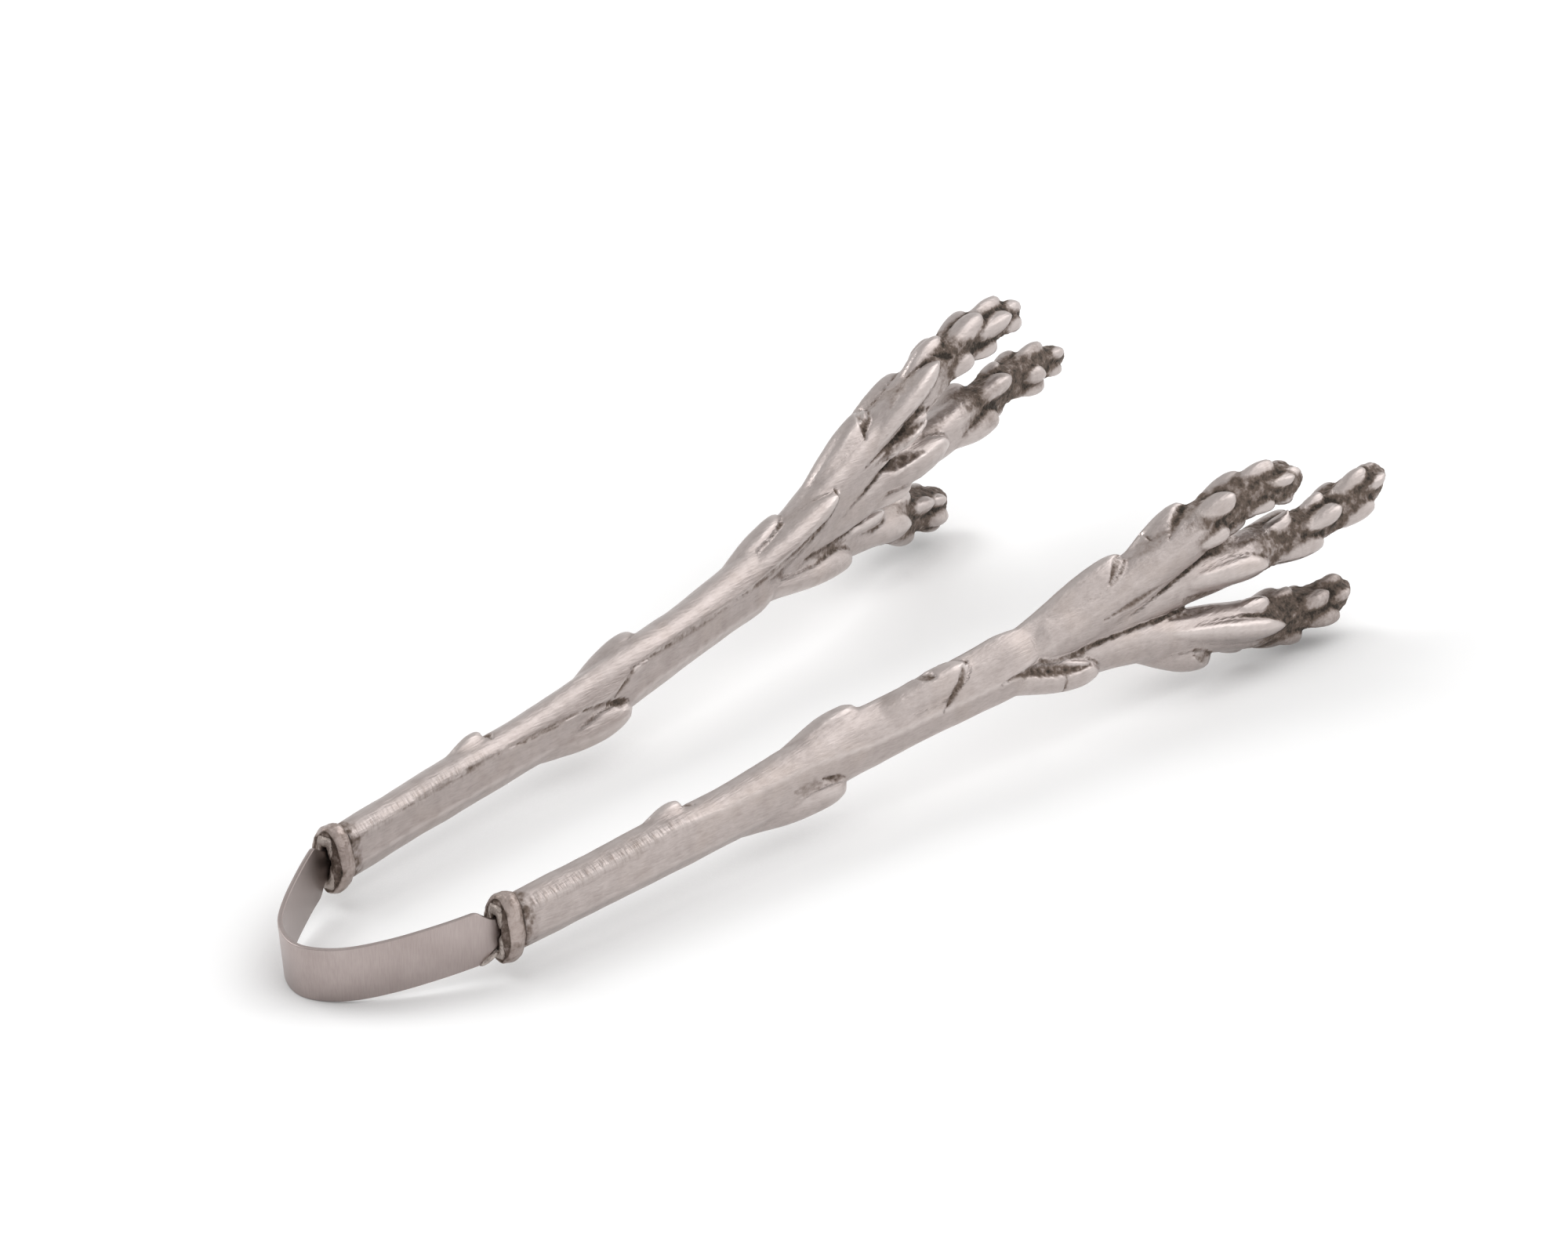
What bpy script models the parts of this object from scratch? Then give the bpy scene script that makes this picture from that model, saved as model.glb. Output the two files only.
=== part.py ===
"""Serving tongs shaped as two bunches of asparagus.

Two cast arms, each a stalk that ends in three spears, sit on the tangs of one bent spring strip.
A collar closes each stalk's end, and solder holds the tang in the collar and the stalk.
The tongs lie at rest on the plane z = 0: +X runs from the bow to the tips, +Y to the left arm.
"""
import math

import bmesh
import bpy
import numpy as np
from mathutils import Matrix, Vector

COLLECTION_NAME = "asparagus_tongs"
MM = 0.001
GAP = 0.3                      # clearance between touching pieces, mm

# Spring strip, mm. The path is its middle line from the bow to the left tang's end: x, y, z.
STRIP_WIDTH = 9.2
STRIP_THICKNESS = 0.8
STRIP_TILT = math.radians(5.8)
STRIP_PATH = (
    (0.0, 0.0, 4.58),
    (1.1, 3.9, 4.68),
    (3.9, 7.6, 5.0),
    (9.0, 11.3, 5.65),
    (15.5, 14.9, 6.65),
    (20.6, 17.3, 7.5),
    (23.6, 18.24, 7.8),
    (25.6, 18.4, 7.9),
    (31.0, 18.8, 8.15),
)
TANG_WIDTH = 4.8
SCOOP_START = 21.0             # where the edges begin to narrow towards the tang
SCOOP_END = 24.2

# Stations of the stalk, mm: x, y, z, half height, half depth outside, half depth inside.
STALK = (
    (27.5, 18.54, 7.99, 4.3, 2.9, 2.5),
    (28.5, 18.62, 8.04, 4.7, 3.4, 2.8),
    (44.7, 19.8, 8.8, 4.7, 3.5, 2.9),
    (56.0, 20.5, 9.4, 4.9, 3.7, 3.1),
    (73.2, 21.6, 10.1, 4.8, 3.7, 3.0),
    (86.0, 22.2, 11.2, 5.2, 4.0, 3.2),
    (100.3, 23.1, 12.6, 5.5, 4.3, 3.4),
    (115.9, 24.8, 13.9, 5.2, 4.2, 3.4),
    (128.3, 26.4, 15.1, 5.5, 4.4, 3.5),
    (137.8, 27.6, 16.2, 5.9, 4.6, 3.6),
    (147.3, 28.8, 18.0, 5.6, 4.4, 3.4),
)

# Stations of each arm's three spears, mm, in the same six columns.
SPEARS = {
    "right": {
        "upper": (
            (141.0, 28.0, 16.8, 4.6, 4.0, 3.2),
            (160.0, 30.3, 20.4, 4.8, 4.3, 3.4),
            (173.2, 32.0, 24.5, 4.6, 4.3, 3.5),
            (184.7, 33.4, 28.3, 4.5, 4.2, 3.6),
            (196.4, 34.9, 30.9, 4.0, 3.9, 3.5),
            (206.0, 36.2, 30.9, 2.9, 2.9, 2.8),
            (210.6, 36.7, 30.5, 1.4, 1.4, 1.4),
        ),
        "middle": (
            (147.0, 28.9, 17.3, 3.4, 3.4, 3.0),
            (167.8, 31.4, 17.9, 3.7, 3.5, 3.1),
            (183.2, 33.3, 19.0, 4.1, 3.8, 3.3),
            (198.9, 35.2, 19.5, 4.2, 3.9, 3.4),
            (215.1, 37.1, 20.6, 4.2, 3.9, 3.5),
            (226.2, 38.6, 23.7, 3.4, 3.2, 3.0),
            (234.2, 39.4, 25.6, 1.4, 1.4, 1.4),
        ),
        "lower": (
            (141.0, 28.2, 14.4, 3.2, 3.2, 3.0),
            (152.0, 29.8, 12.9, 3.6, 3.4, 3.2),
            (164.9, 31.9, 12.2, 3.9, 3.6, 3.2),
            (181.4, 34.9, 9.8, 4.2, 3.9, 3.4),
            (196.5, 37.7, 7.2, 4.3, 4.0, 3.6),
            (208.6, 39.2, 6.2, 4.2, 4.1, 3.7),
            (217.8, 40.4, 7.2, 3.0, 3.0, 2.9),
            (221.4, 40.8, 7.9, 1.4, 1.4, 1.4),
        ),
    },
    "left": {
        "upper": (
            (141.0, 28.0, 17.2, 4.6, 4.0, 3.2),
            (152.0, 29.5, 20.2, 4.9, 4.3, 3.4),
            (163.1, 30.7, 24.4, 4.9, 4.4, 3.5),
            (175.9, 32.3, 29.2, 4.7, 4.3, 3.6),
            (189.0, 33.9, 33.9, 4.5, 4.2, 3.7),
            (203.6, 35.7, 38.4, 4.2, 4.0, 3.6),
            (217.2, 37.4, 39.6, 3.7, 3.6, 3.3),
            (226.8, 38.6, 38.9, 1.6, 1.6, 1.6),
        ),
        "middle": (
            (147.0, 28.9, 18.2, 3.4, 3.4, 3.0),
            (169.6, 31.5, 20.1, 3.9, 3.6, 3.2),
            (183.8, 33.3, 22.0, 4.2, 3.9, 3.4),
            (199.9, 35.2, 23.6, 4.3, 4.0, 3.5),
            (216.2, 37.3, 25.6, 4.2, 3.9, 3.5),
            (230.3, 39.0, 26.0, 3.6, 3.4, 3.1),
            (242.4, 40.5, 25.2, 1.6, 1.6, 1.6),
        ),
        "lower": (
            (141.0, 28.2, 14.6, 3.2, 3.2, 3.0),
            (153.0, 29.8, 14.4, 3.6, 3.4, 3.2),
            (164.9, 32.4, 13.6, 3.9, 3.6, 3.2),
            (179.5, 35.6, 11.4, 4.1, 3.8, 3.4),
            (194.9, 39.2, 8.0, 4.4, 4.1, 3.7),
            (204.4, 41.2, 6.2, 3.6, 3.5, 3.3),
            (210.6, 42.4, 5.4, 1.6, 1.6, 1.6),
        ),
    },
}

# Bracts on the stalk: station along x, angle from the top towards the outside, length, width, height.
STALK_BRACTS = (
    (53.0, 10.0, 11.0, 5.5, 3.0),
    (94.0, 15.0, 19.0, 8.0, 4.6),
    (97.0, 168.0, 18.0, 7.5, 4.4),
    (118.0, 75.0, 18.0, 8.5, 4.2),
    (141.0, 172.0, 17.0, 8.0, 4.6),
    (152.0, 12.0, 20.0, 8.5, 5.0),
)
# The bract under each lower spear that touches the ground: same columns.
FOOT_BRACTS = {
    "right": (203.0, 180.0, 14.0, 7.0, 4.85),
    "left": (200.0, 180.0, 14.0, 7.0, 6.4),
}
BRACT_ANGLE_STEP = 137.5       # each bract of a spear turns on by this much, degrees
BRACT_SEGMENTS = 8
BRACT_RINGS = 6
BRACT_SINK = 0.55              # share of a bract's height that stands inside its stalk
BRACT_LIFT = math.radians(9.0)
SPEAR_BRACT_START = {"upper": 0.34, "middle": 0.30, "lower": 0.34}
SPEAR_BRACT_END = 0.93
SPEAR_BRACTS = 10
SPEAR_BRACT_FIRST_ANGLE = 20.0
BRACT_CROWDING = 0.85          # under 1, the bracts stand closer towards the tip
BRACT_LENGTH = 3.1             # length, width and height as shares of the spear's half height there
BRACT_WIDTH = 1.5
BRACT_HEIGHT = 0.9
BRACT_SHORTENING = 3.2         # how much shorter the last bract is than the first, mm
BRACT_TAPER = 0.35

# Collar, mm: distance from its middle along the stalk, and the share of its full size there.
COLLAR_CENTRE = (25.6, 18.4, 7.9)
COLLAR_HALF_HEIGHT = 6.0
COLLAR_HALF_DEPTH = 3.7
COLLAR_SECTION = ((-1.3, 0.78), (-1.1, 0.9), (-0.6, 0.98), (0.1, 1.0), (0.8, 0.95), (1.3, 0.84))
STALK_YAW = math.radians(4.3)
STALK_PITCH = math.radians(2.7)

# Solder round the tang, mm.
SOLDER_HEIGHT = 6.4
SOLDER_DEPTH = 2.6
SOLDER_FRONT = -1.9
SOLDER_BACK = 5.4
SOCKET_BACK = 7.6

SECTION_POINTS = 12
INNER_FLATNESS = 0.7           # under 1, the gripping side is flatter than round
STEPS_PER_SPAN = 2
STRIP_STEPS = 5
CUT_PAST = 3.0                 # how far a cutter runs past what it cuts
SHARP_ANGLE = math.radians(50.0)

MATERIALS = {
    "strip_steel": ((0.42, 0.38, 0.37, 1.0), 0.38),
    "cast_pewter": ((0.40, 0.36, 0.34, 1.0), 0.42),
    "dark_pewter": ((0.20, 0.16, 0.12, 1.0), 0.55),
    "solder": ((0.50, 0.46, 0.42, 1.0), 0.35),
}


def clear_scene():
    for old in list(bpy.data.objects):
        bpy.data.objects.remove(old, do_unlink=True)


def make_material(name):
    color, roughness = MATERIALS[name]
    material = bpy.data.materials.new(name)
    material.use_nodes = True
    shader = material.node_tree.nodes["Principled BSDF"]
    shader.inputs["Base Color"].default_value = color
    shader.inputs["Metallic"].default_value = 1.0
    shader.inputs["Roughness"].default_value = roughness
    return material


def make_collection(name):
    collection = bpy.data.collections.new(name)
    bpy.context.scene.collection.children.link(collection)
    return collection


def add_object(name, bm, collection, material=None):
    """Write a bmesh given in millimetres to a new object in metres."""
    bmesh.ops.scale(bm, vec=(MM, MM, MM), verts=bm.verts)
    bmesh.ops.recalc_face_normals(bm, faces=bm.faces)
    mesh = bpy.data.meshes.new(name)
    bm.to_mesh(mesh)
    bm.free()
    mesh.shade_smooth()
    mesh.set_sharp_from_angle(angle=SHARP_ANGLE)
    if material is not None:
        mesh.materials.append(material)
    new_object = bpy.data.objects.new(name, mesh)
    collection.objects.link(new_object)
    return new_object


def hide_helper(helper):
    helper.hide_render = True
    helper.display_type = "WIRE"


def smooth_rows(rows, steps):
    """Rows of a Catmull-Rom curve through the given rows, with steps rows to each span."""
    rows = np.array(rows, dtype=float)
    padded = np.vstack([2 * rows[0] - rows[1], rows, 2 * rows[-1] - rows[-2]])
    out = []
    for index in range(1, len(padded) - 2):
        before, start, end, after = padded[index - 1:index + 3]
        for step in range(steps):
            t = step / steps
            out.append(0.5 * (2 * start + (end - before) * t
                              + (2 * before - 5 * start + 4 * end - after) * t ** 2
                              + (3 * start - before - 3 * end + after) * t ** 3))
    out.append(rows[-1])
    return np.array(out)


def tangents(points):
    steps = np.gradient(points, axis=0)
    return steps / np.linalg.norm(steps, axis=1)[:, None]


def section_frame(tangent):
    """The up and outward directions of a section square to the tangent, for the left arm."""
    forward = Vector(tangent).normalized()
    up = Vector((0.0, 0.0, 1.0))
    up = (up - forward * up.dot(forward)).normalized()
    return forward, up, up.cross(forward)


def add_loft(bm, rings):
    """Skin closed rings of equal length into one closed body with flat ends."""
    loops = [[bm.verts.new(point) for point in ring] for ring in rings]
    count = len(loops[0])
    for lower, upper in zip(loops, loops[1:]):
        for index in range(count):
            after = (index + 1) % count
            bm.faces.new((lower[index], lower[after], upper[after], upper[index]))
    bm.faces.new(list(reversed(loops[0])))
    bm.faces.new(loops[-1])


def limb_rings(rows):
    """Sections of a stalk or spear: round outside, flatter on the gripping side."""
    directions = tangents(rows[:, :3])
    rings = []
    for row, direction in zip(rows, directions):
        _, up, outward = section_frame(direction)
        centre = Vector(row[:3])
        half_height, outside, inside = row[3:]
        ring = []
        for index in range(SECTION_POINTS):
            angle = 2 * math.pi * index / SECTION_POINTS
            side = math.cos(angle)
            if side > 0:
                depth = outside * side
            else:
                depth = -inside * abs(side) ** INNER_FLATNESS
            ring.append(centre + outward * depth + up * half_height * math.sin(angle))
        rings.append(ring)
    return rings


def surface_reach(row, angle):
    """How far the limb's surface stands from its axis at an angle from the top."""
    half_height, outside, inside = row[3:]
    side = math.sin(angle)
    depth = outside if side > 0 else inside
    return 1.0 / math.hypot(math.cos(angle) / half_height, side / depth)


def add_bract(bm, row, direction, angle, length, width, height):
    """A pointed scale that lies along the limb and lifts a little towards its tip."""
    forward, up, outward = section_frame(direction)
    out = up * math.cos(angle) + outward * math.sin(angle)
    across = forward.cross(out)
    foot = Vector(row[:3]) + out * (surface_reach(row, angle) - height * (BRACT_SINK - 0.5))
    made = bmesh.ops.create_uvsphere(bm, u_segments=BRACT_SEGMENTS, v_segments=BRACT_RINGS, radius=1.0)
    turn = Matrix.Rotation(-BRACT_LIFT, 3, across)
    for vert in made["verts"]:
        along = vert.co.z
        taper = 1.0 - BRACT_TAPER * max(along, 0.0)
        offset = (forward * along * length / 2 + out * vert.co.x * height / 2 * taper
                  + across * vert.co.y * width / 2 * taper)
        vert.co = foot + turn @ offset


def add_part(collection, name, build):
    bm = bmesh.new()
    build(bm)
    part = add_object(name, bm, collection)
    hide_helper(part)
    return part


def spear_bracts(rows, start):
    """Rows, directions and sizes of a spear's bracts, closer and smaller towards its tip."""
    directions = tangents(rows[:, :3])
    found = []
    for number in range(SPEAR_BRACTS):
        done = number / (SPEAR_BRACTS - 1)
        share = start + (SPEAR_BRACT_END - start) * done ** BRACT_CROWDING
        index = min(int(share * (len(rows) - 1)), len(rows) - 2)
        row = rows[index]
        angle = math.radians(SPEAR_BRACT_FIRST_ANGLE + BRACT_ANGLE_STEP * number)
        size = row[3]
        length = BRACT_LENGTH * size - BRACT_SHORTENING * done
        found.append((row, directions[index], angle, length, BRACT_WIDTH * size, BRACT_HEIGHT * size))
    return found


def placed_bract(rows, place, angle, length, width, height):
    """The bract at the station nearest to a given x."""
    index = int(np.argmin(np.abs(rows[:, 0] - place)))
    direction = tangents(rows[:, :3])[index]
    return rows[index], direction, math.radians(angle), length, width, height


def mirror_to_side(mesh, side):
    if side == "right":
        mesh.transform(Matrix.Scale(-1.0, 4, (0.0, 1.0, 0.0)))
        mesh.flip_normals()


def apply_modifiers(target):
    depsgraph = bpy.context.evaluated_depsgraph_get()
    mesh = bpy.data.meshes.new_from_object(target.evaluated_get(depsgraph))
    target.modifiers.clear()
    target.data = mesh


def add_boolean(target, operation, operand):
    modifier = target.modifiers.new(operation.lower(), "BOOLEAN")
    modifier.operation = operation
    modifier.solver = "EXACT"
    if isinstance(operand, bpy.types.Collection):
        modifier.operand_type = "COLLECTION"
        modifier.collection = operand
    else:
        modifier.object = operand


def stalk_axis(offset):
    """A point on the line of the stalk's end, offset along it from the collar's middle."""
    forward = Vector((math.cos(STALK_YAW), math.sin(STALK_YAW), math.tan(STALK_PITCH))).normalized()
    return Vector(COLLAR_CENTRE) + forward * offset, forward


def add_axis_box(bm, start, end, height, depth):
    """A box along the stalk's end line, its depth across and its height along the section's up."""
    first, forward = stalk_axis(start)
    last, _ = stalk_axis(end)
    _, up, outward = section_frame(forward)
    rings = []
    for centre in (first, last):
        rings.append([centre + outward * (depth / 2 * a) + up * (height / 2 * b)
                      for a, b in ((1, 1), (-1, 1), (-1, -1), (1, -1))])
    add_loft(bm, rings)


def make_arm(side, collection, helpers, material):
    """One casting: the stalk, its bracts and three spears, with a socket for the tang."""
    stalk_rows = smooth_rows(STALK, STEPS_PER_SPAN)
    name = side + "_arm"
    operands = make_collection(name + "_shapes")
    helpers.children.link(operands)
    bpy.context.scene.collection.children.unlink(operands)
    for spear, stations in SPEARS[side].items():
        rows = smooth_rows(stations, STEPS_PER_SPAN)
        add_part(operands, side + "_" + spear + "_core", lambda bm: add_loft(bm, limb_rings(rows)))
        bracts = spear_bracts(rows, SPEAR_BRACT_START[spear])
        if spear == "lower":
            bracts.append(placed_bract(rows, *FOOT_BRACTS[side]))
        for number, bract in enumerate(bracts):
            add_part(operands, f"{side}_{spear}_bract_{number}", lambda bm: add_bract(bm, *bract))
    for number, placing in enumerate(STALK_BRACTS):
        bract = placed_bract(stalk_rows, *placing)
        add_part(operands, f"{side}_stalk_bract_{number}", lambda bm: add_bract(bm, *bract))

    bm = bmesh.new()
    add_loft(bm, limb_rings(stalk_rows))
    arm = add_object(name, bm, collection, material)
    socket = add_part(helpers, name + "_socket", lambda bm: add_axis_box(
        bm, 0.0, SOCKET_BACK, SOLDER_HEIGHT + 2 * GAP, SOLDER_DEPTH + 2 * GAP))
    add_boolean(arm, "UNION", operands)
    add_boolean(arm, "DIFFERENCE", socket)
    apply_modifiers(arm)
    mirror_to_side(arm.data, side)
    return arm


def make_collar(side, collection, helpers, material):
    """The oval bead that caps the stalk's end, with a slot for the tang and its solder."""
    rings = []
    for offset, share in COLLAR_SECTION:
        centre, forward = stalk_axis(offset)
        _, up, outward = section_frame(forward)
        ring = []
        for index in range(2 * SECTION_POINTS):
            angle = math.pi * index / SECTION_POINTS
            ring.append(centre + outward * COLLAR_HALF_DEPTH * share * math.cos(angle)
                        + up * COLLAR_HALF_HEIGHT * share * math.sin(angle))
        rings.append(ring)
    bm = bmesh.new()
    add_loft(bm, rings)
    collar = add_object(side + "_collar", bm, collection, material)
    slot = add_part(helpers, side + "_collar_slot", lambda bm: add_axis_box(
        bm, -CUT_PAST, CUT_PAST, SOLDER_HEIGHT + 2 * GAP, SOLDER_DEPTH + 2 * GAP))
    add_boolean(collar, "DIFFERENCE", slot)
    apply_modifiers(collar)
    mirror_to_side(collar.data, side)
    return collar


def make_solder(side, collection, helpers, material):
    """A sleeve of solder round the tang, from just outside the collar into the stalk."""
    bm = bmesh.new()
    add_axis_box(bm, SOLDER_FRONT, SOLDER_BACK, SOLDER_HEIGHT, SOLDER_DEPTH)
    solder = add_object(side + "_solder", bm, collection, material)
    hole = add_part(helpers, side + "_solder_hole", lambda bm: add_axis_box(
        bm, SOLDER_FRONT - CUT_PAST, SOLDER_BACK + CUT_PAST,
        TANG_WIDTH + 2 * GAP, STRIP_THICKNESS + 2 * GAP))
    add_boolean(solder, "DIFFERENCE", hole)
    apply_modifiers(solder)
    mirror_to_side(solder.data, side)
    return solder


def strip_half_width(x):
    """Half the strip's width: full along the bow, scooped in to the tang at each end."""
    t = min(max((x - SCOOP_START) / (SCOOP_END - SCOOP_START), 0.0), 1.0)
    scoop = math.sqrt(1.0 - (1.0 - t) ** 2)
    return STRIP_WIDTH / 2 - scoop * (STRIP_WIDTH - TANG_WIDTH) / 2


def make_spring_strip(collection, material):
    """The bent strip: an open band along its plan path, given its thickness by Solidify."""
    half = smooth_rows(STRIP_PATH, STRIP_STEPS)
    path = [row * (1.0, -1.0, 1.0) for row in half[:0:-1]] + list(half)
    lean = Vector((-math.sin(STRIP_TILT), 0.0, math.cos(STRIP_TILT)))
    bm = bmesh.new()
    rows = []
    for middle in path:
        half_width = strip_half_width(middle[0])
        rows.append([bm.verts.new(Vector(middle) + lean * half_width * share)
                     for share in (-1.0, 0.0, 1.0)])
    for before, after in zip(rows, rows[1:]):
        for index in range(2):
            bm.faces.new((before[index], before[index + 1], after[index + 1], after[index]))
    strip = add_object("spring_strip", bm, collection, material)
    solidify = strip.modifiers.new("thickness", "SOLIDIFY")
    solidify.thickness = STRIP_THICKNESS * MM
    solidify.offset = 0.0
    solidify.use_even_offset = True
    return strip


def move_origin_under_centre(collection):
    """Put the origin on the ground, under the middle of the whole object's box."""
    depsgraph = bpy.context.evaluated_depsgraph_get()
    points = []
    for part in collection.objects:
        evaluated = part.evaluated_get(depsgraph)
        points.extend(vert.co.copy() for vert in evaluated.to_mesh().vertices)
        evaluated.to_mesh_clear()
    low, high = np.min(points, axis=0), np.max(points, axis=0)
    middle = (low + high) / 2
    shift = Matrix.Translation((-middle[0], -middle[1], -low[2]))
    for part in collection.objects:
        part.data.transform(shift)


def main():
    clear_scene()
    parts = make_collection(COLLECTION_NAME)
    helpers = make_collection("cutters")
    materials = {name: make_material(name) for name in MATERIALS}
    make_spring_strip(parts, materials["strip_steel"])
    for side in ("left", "right"):
        make_arm(side, parts, helpers, materials["cast_pewter"])
        make_collar(side, parts, helpers, materials["dark_pewter"])
        make_solder(side, parts, helpers, materials["solder"])
    move_origin_under_centre(parts)


main()
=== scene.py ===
"""Serving tongs shaped as two bunches of asparagus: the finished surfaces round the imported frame.

Sizes are in millimetres in the tongs' own layout: x runs from the bow to the tips, y is the
distance from the middle plane, z is up. to_frame() carries them into the frame's metres.
Angles round a stalk are in degrees, from its top towards the outside.
"""

import math

import bmesh
import bpy
import numpy as np
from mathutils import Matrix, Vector, noise


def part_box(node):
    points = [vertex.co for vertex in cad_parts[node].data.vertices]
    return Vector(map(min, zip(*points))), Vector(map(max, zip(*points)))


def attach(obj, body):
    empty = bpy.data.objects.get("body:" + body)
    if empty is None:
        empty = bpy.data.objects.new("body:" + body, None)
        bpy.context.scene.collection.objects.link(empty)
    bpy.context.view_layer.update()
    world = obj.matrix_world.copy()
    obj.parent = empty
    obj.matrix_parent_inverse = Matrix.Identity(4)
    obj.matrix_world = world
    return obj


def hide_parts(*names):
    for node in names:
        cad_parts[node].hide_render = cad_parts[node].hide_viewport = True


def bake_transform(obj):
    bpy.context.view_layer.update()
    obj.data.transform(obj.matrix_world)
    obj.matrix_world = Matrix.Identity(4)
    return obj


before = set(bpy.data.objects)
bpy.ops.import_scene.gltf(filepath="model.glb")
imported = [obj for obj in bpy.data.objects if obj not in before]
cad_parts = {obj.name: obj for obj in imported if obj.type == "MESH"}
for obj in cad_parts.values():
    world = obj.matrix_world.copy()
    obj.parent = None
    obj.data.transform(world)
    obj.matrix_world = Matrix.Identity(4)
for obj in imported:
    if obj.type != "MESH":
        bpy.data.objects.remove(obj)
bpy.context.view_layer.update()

MM = 0.001
UP = np.array([0.0, 0.0, 1.0])
SIDES = {"left": 1.0, "right": -1.0}
SPEAR_NAMES = ("upper", "middle", "lower")

# Camera, floor and light, in metres.
CAMERA_AZIMUTH = math.radians(49.85)
CAMERA_ELEVATION = math.radians(23.63)
CAMERA_DISTANCE = 0.9044
CAMERA_TARGET = (0.03381, 0.03405, 0.0)
CAMERA_LENS = 117.09
SENSOR_WIDTH = 36.0
FLOOR_HALF_SIZE = 3.0
FLOOR_TONE = (0.97, 0.97, 0.97)
FLOOR_GLOW = 0.09
# Painted contact shadow on the floor: its colour, its reach and its ramp.
PAINTED_CONTACT_SHADOW_TONE = (0.48, 0.48, 0.48)
PAINTED_SHADOW_REACH = 0.010  # painted contact shadow: the floor's colour darkens within this reach of the tongs
PAINTED_SHADOW_RANGE = (0.25, 0.85)  # occlusion at the full painted shadow tone and at the plain floor's
ROOM_BRIGHT_SIDE = (0.55, -0.66, -0.51)
ROOM_DIM = 0.50
ROOM_BRIGHT = 1.34

# Lights: name, place, size, power in watts.
LIGHTS = (
    ("key", (-0.25, 0.95, 0.9), (0.7, 0.7), 5.0),
    ("right", (1.0, -0.42, 0.95), (1.0, 1.0), 3.6),
)

# Looks of pewter: name, bright and dull metal, roughness. The other tones serve all three.
PEWTER_LOOK = ("antiqued_pewter", (0.53, 0.47, 0.451), (0.39, 0.338, 0.32), 0.40)
COLLAR_LOOK = ("patinated_pewter", (0.51, 0.435, 0.408), (0.355, 0.29, 0.264), 0.36)
SOLDER_LOOK = ("dull_solder", (0.53, 0.47, 0.435), (0.38, 0.325, 0.29), 0.38)
# Lighter metal for the ridges: partly wear, partly painted highlight.
WORN_EDGE_AND_HIGHLIGHT = (0.60, 0.54, 0.517)
WARM_TINT = (0.45, 0.374, 0.33)
BROWN = (0.165, 0.122, 0.098)
BLACK = (0.045, 0.034, 0.026)
STEEL_DARK = (0.38, 0.319, 0.303)
STEEL_LIGHT = (0.46, 0.394, 0.378)
STEEL_INNER_DARK = (0.21, 0.175, 0.16)

# Spring strip.
STRIP_LOW = (-0.87, -0.04)  # lowest x and z of the strip in this layout
STRIP_WIDTH = 9.2
STRIP_THICKNESS = 0.8
STRIP_TILT = math.radians(5.8)
STRIP_PATH = (
    (0.0, 0.0, 4.58),
    (1.1, 3.9, 4.68),
    (3.9, 7.6, 5.0),
    (9.0, 11.3, 5.65),
    (15.5, 14.9, 6.65),
    (20.6, 17.3, 7.5),
    (23.6, 18.24, 7.8),
    (25.6, 18.4, 7.9),
    (31.0, 18.8, 8.15),
)
TANG_WIDTH = 4.8
SCOOP_START = 20.2
SCOOP_END = 24.2
SCOOP_CORNER = 0.4  # share of the scoop over which the corner rounds off
STRIP_STEPS = 24
STRIP_INNER_DARKENING_REACH = (0.0, 22.0)  # the inner face darkens between these places along x
STRIP_SHARP_ANGLE = math.radians(50.0)
EDGE_ROUNDING = 0.16
EDGE_POINTS = 4

# Stations of the stalk: x, y, z, half height, half depth outside, half depth inside.
STALK = (
    (27.5, 18.54, 7.99, 4.3, 2.9, 2.5),
    (28.5, 18.62, 8.04, 4.7, 3.4, 2.8),
    (44.7, 19.8, 8.8, 4.7, 3.5, 2.9),
    (56, 20.5, 9.4, 4.9, 3.7, 3.1),
    (73.2, 21.6, 10.1, 4.8, 3.7, 3),
    (86, 22.2, 11.2, 5.2, 4, 3.2),
    (100.3, 23.1, 12.6, 5.5, 4.3, 3.4),
    (115.9, 24.8, 13.9, 5.2, 4.2, 3.4),
    (128.3, 26.4, 15.1, 5.5, 4.4, 3.5),
    (137.8, 27.6, 16.2, 5.9, 4.6, 3.6),
    (147.3, 28.8, 18, 5.6, 4.4, 3.4),
)

# Stations of each arm's spears, in the same columns.
SPEARS = {}
SPEARS["right"] = {
    "upper": (
        (141, 28, 16.8, 4.6, 4, 3.2),
        (160, 30.3, 20.4, 4.8, 4.3, 3.4),
        (173.2, 32, 24.5, 4.6, 4.3, 3.5),
        (184.7, 33.4, 28.3, 4.5, 4.2, 3.6),
        (196.4, 34.9, 30.9, 4, 3.9, 3.5),
        (205, 36.1, 30.7, 3.7, 3.6, 3.3),
        (209.4, 36.6, 30.3, 2.3, 2.3, 2.2),
    ),
    "middle": (
        (147, 28.9, 17.3, 3.4, 3.4, 3),
        (167.8, 31.4, 17.9, 3.7, 3.5, 3.1),
        (183.2, 33.3, 19, 4.1, 3.8, 3.3),
        (198.9, 35.2, 19.5, 4.2, 3.9, 3.4),
        (215.1, 37.1, 20.6, 4.2, 3.9, 3.5),
        (225.6, 38.5, 23.4, 4, 3.7, 3.3),
        (231.8, 39.1, 25, 2.5, 2.4, 2.2),
    ),
    "lower": (
        (141, 28.2, 14.4, 3.2, 3.2, 3),
        (152, 29.8, 12.9, 3.6, 3.4, 3.2),
        (164.9, 31.9, 12.2, 3.9, 3.6, 3.2),
        (181.4, 34.9, 9.8, 4.2, 3.9, 3.4),
        (196.5, 37.7, 7.2, 4.3, 4, 3.6),
        (208.6, 39.2, 6.2, 4.2, 4.1, 3.7),
        (216.4, 40.2, 6.9, 3.8, 3.6, 3.3),
        (220, 40.6, 7.6, 2.3, 2.3, 2.2),
    ),
}
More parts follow.
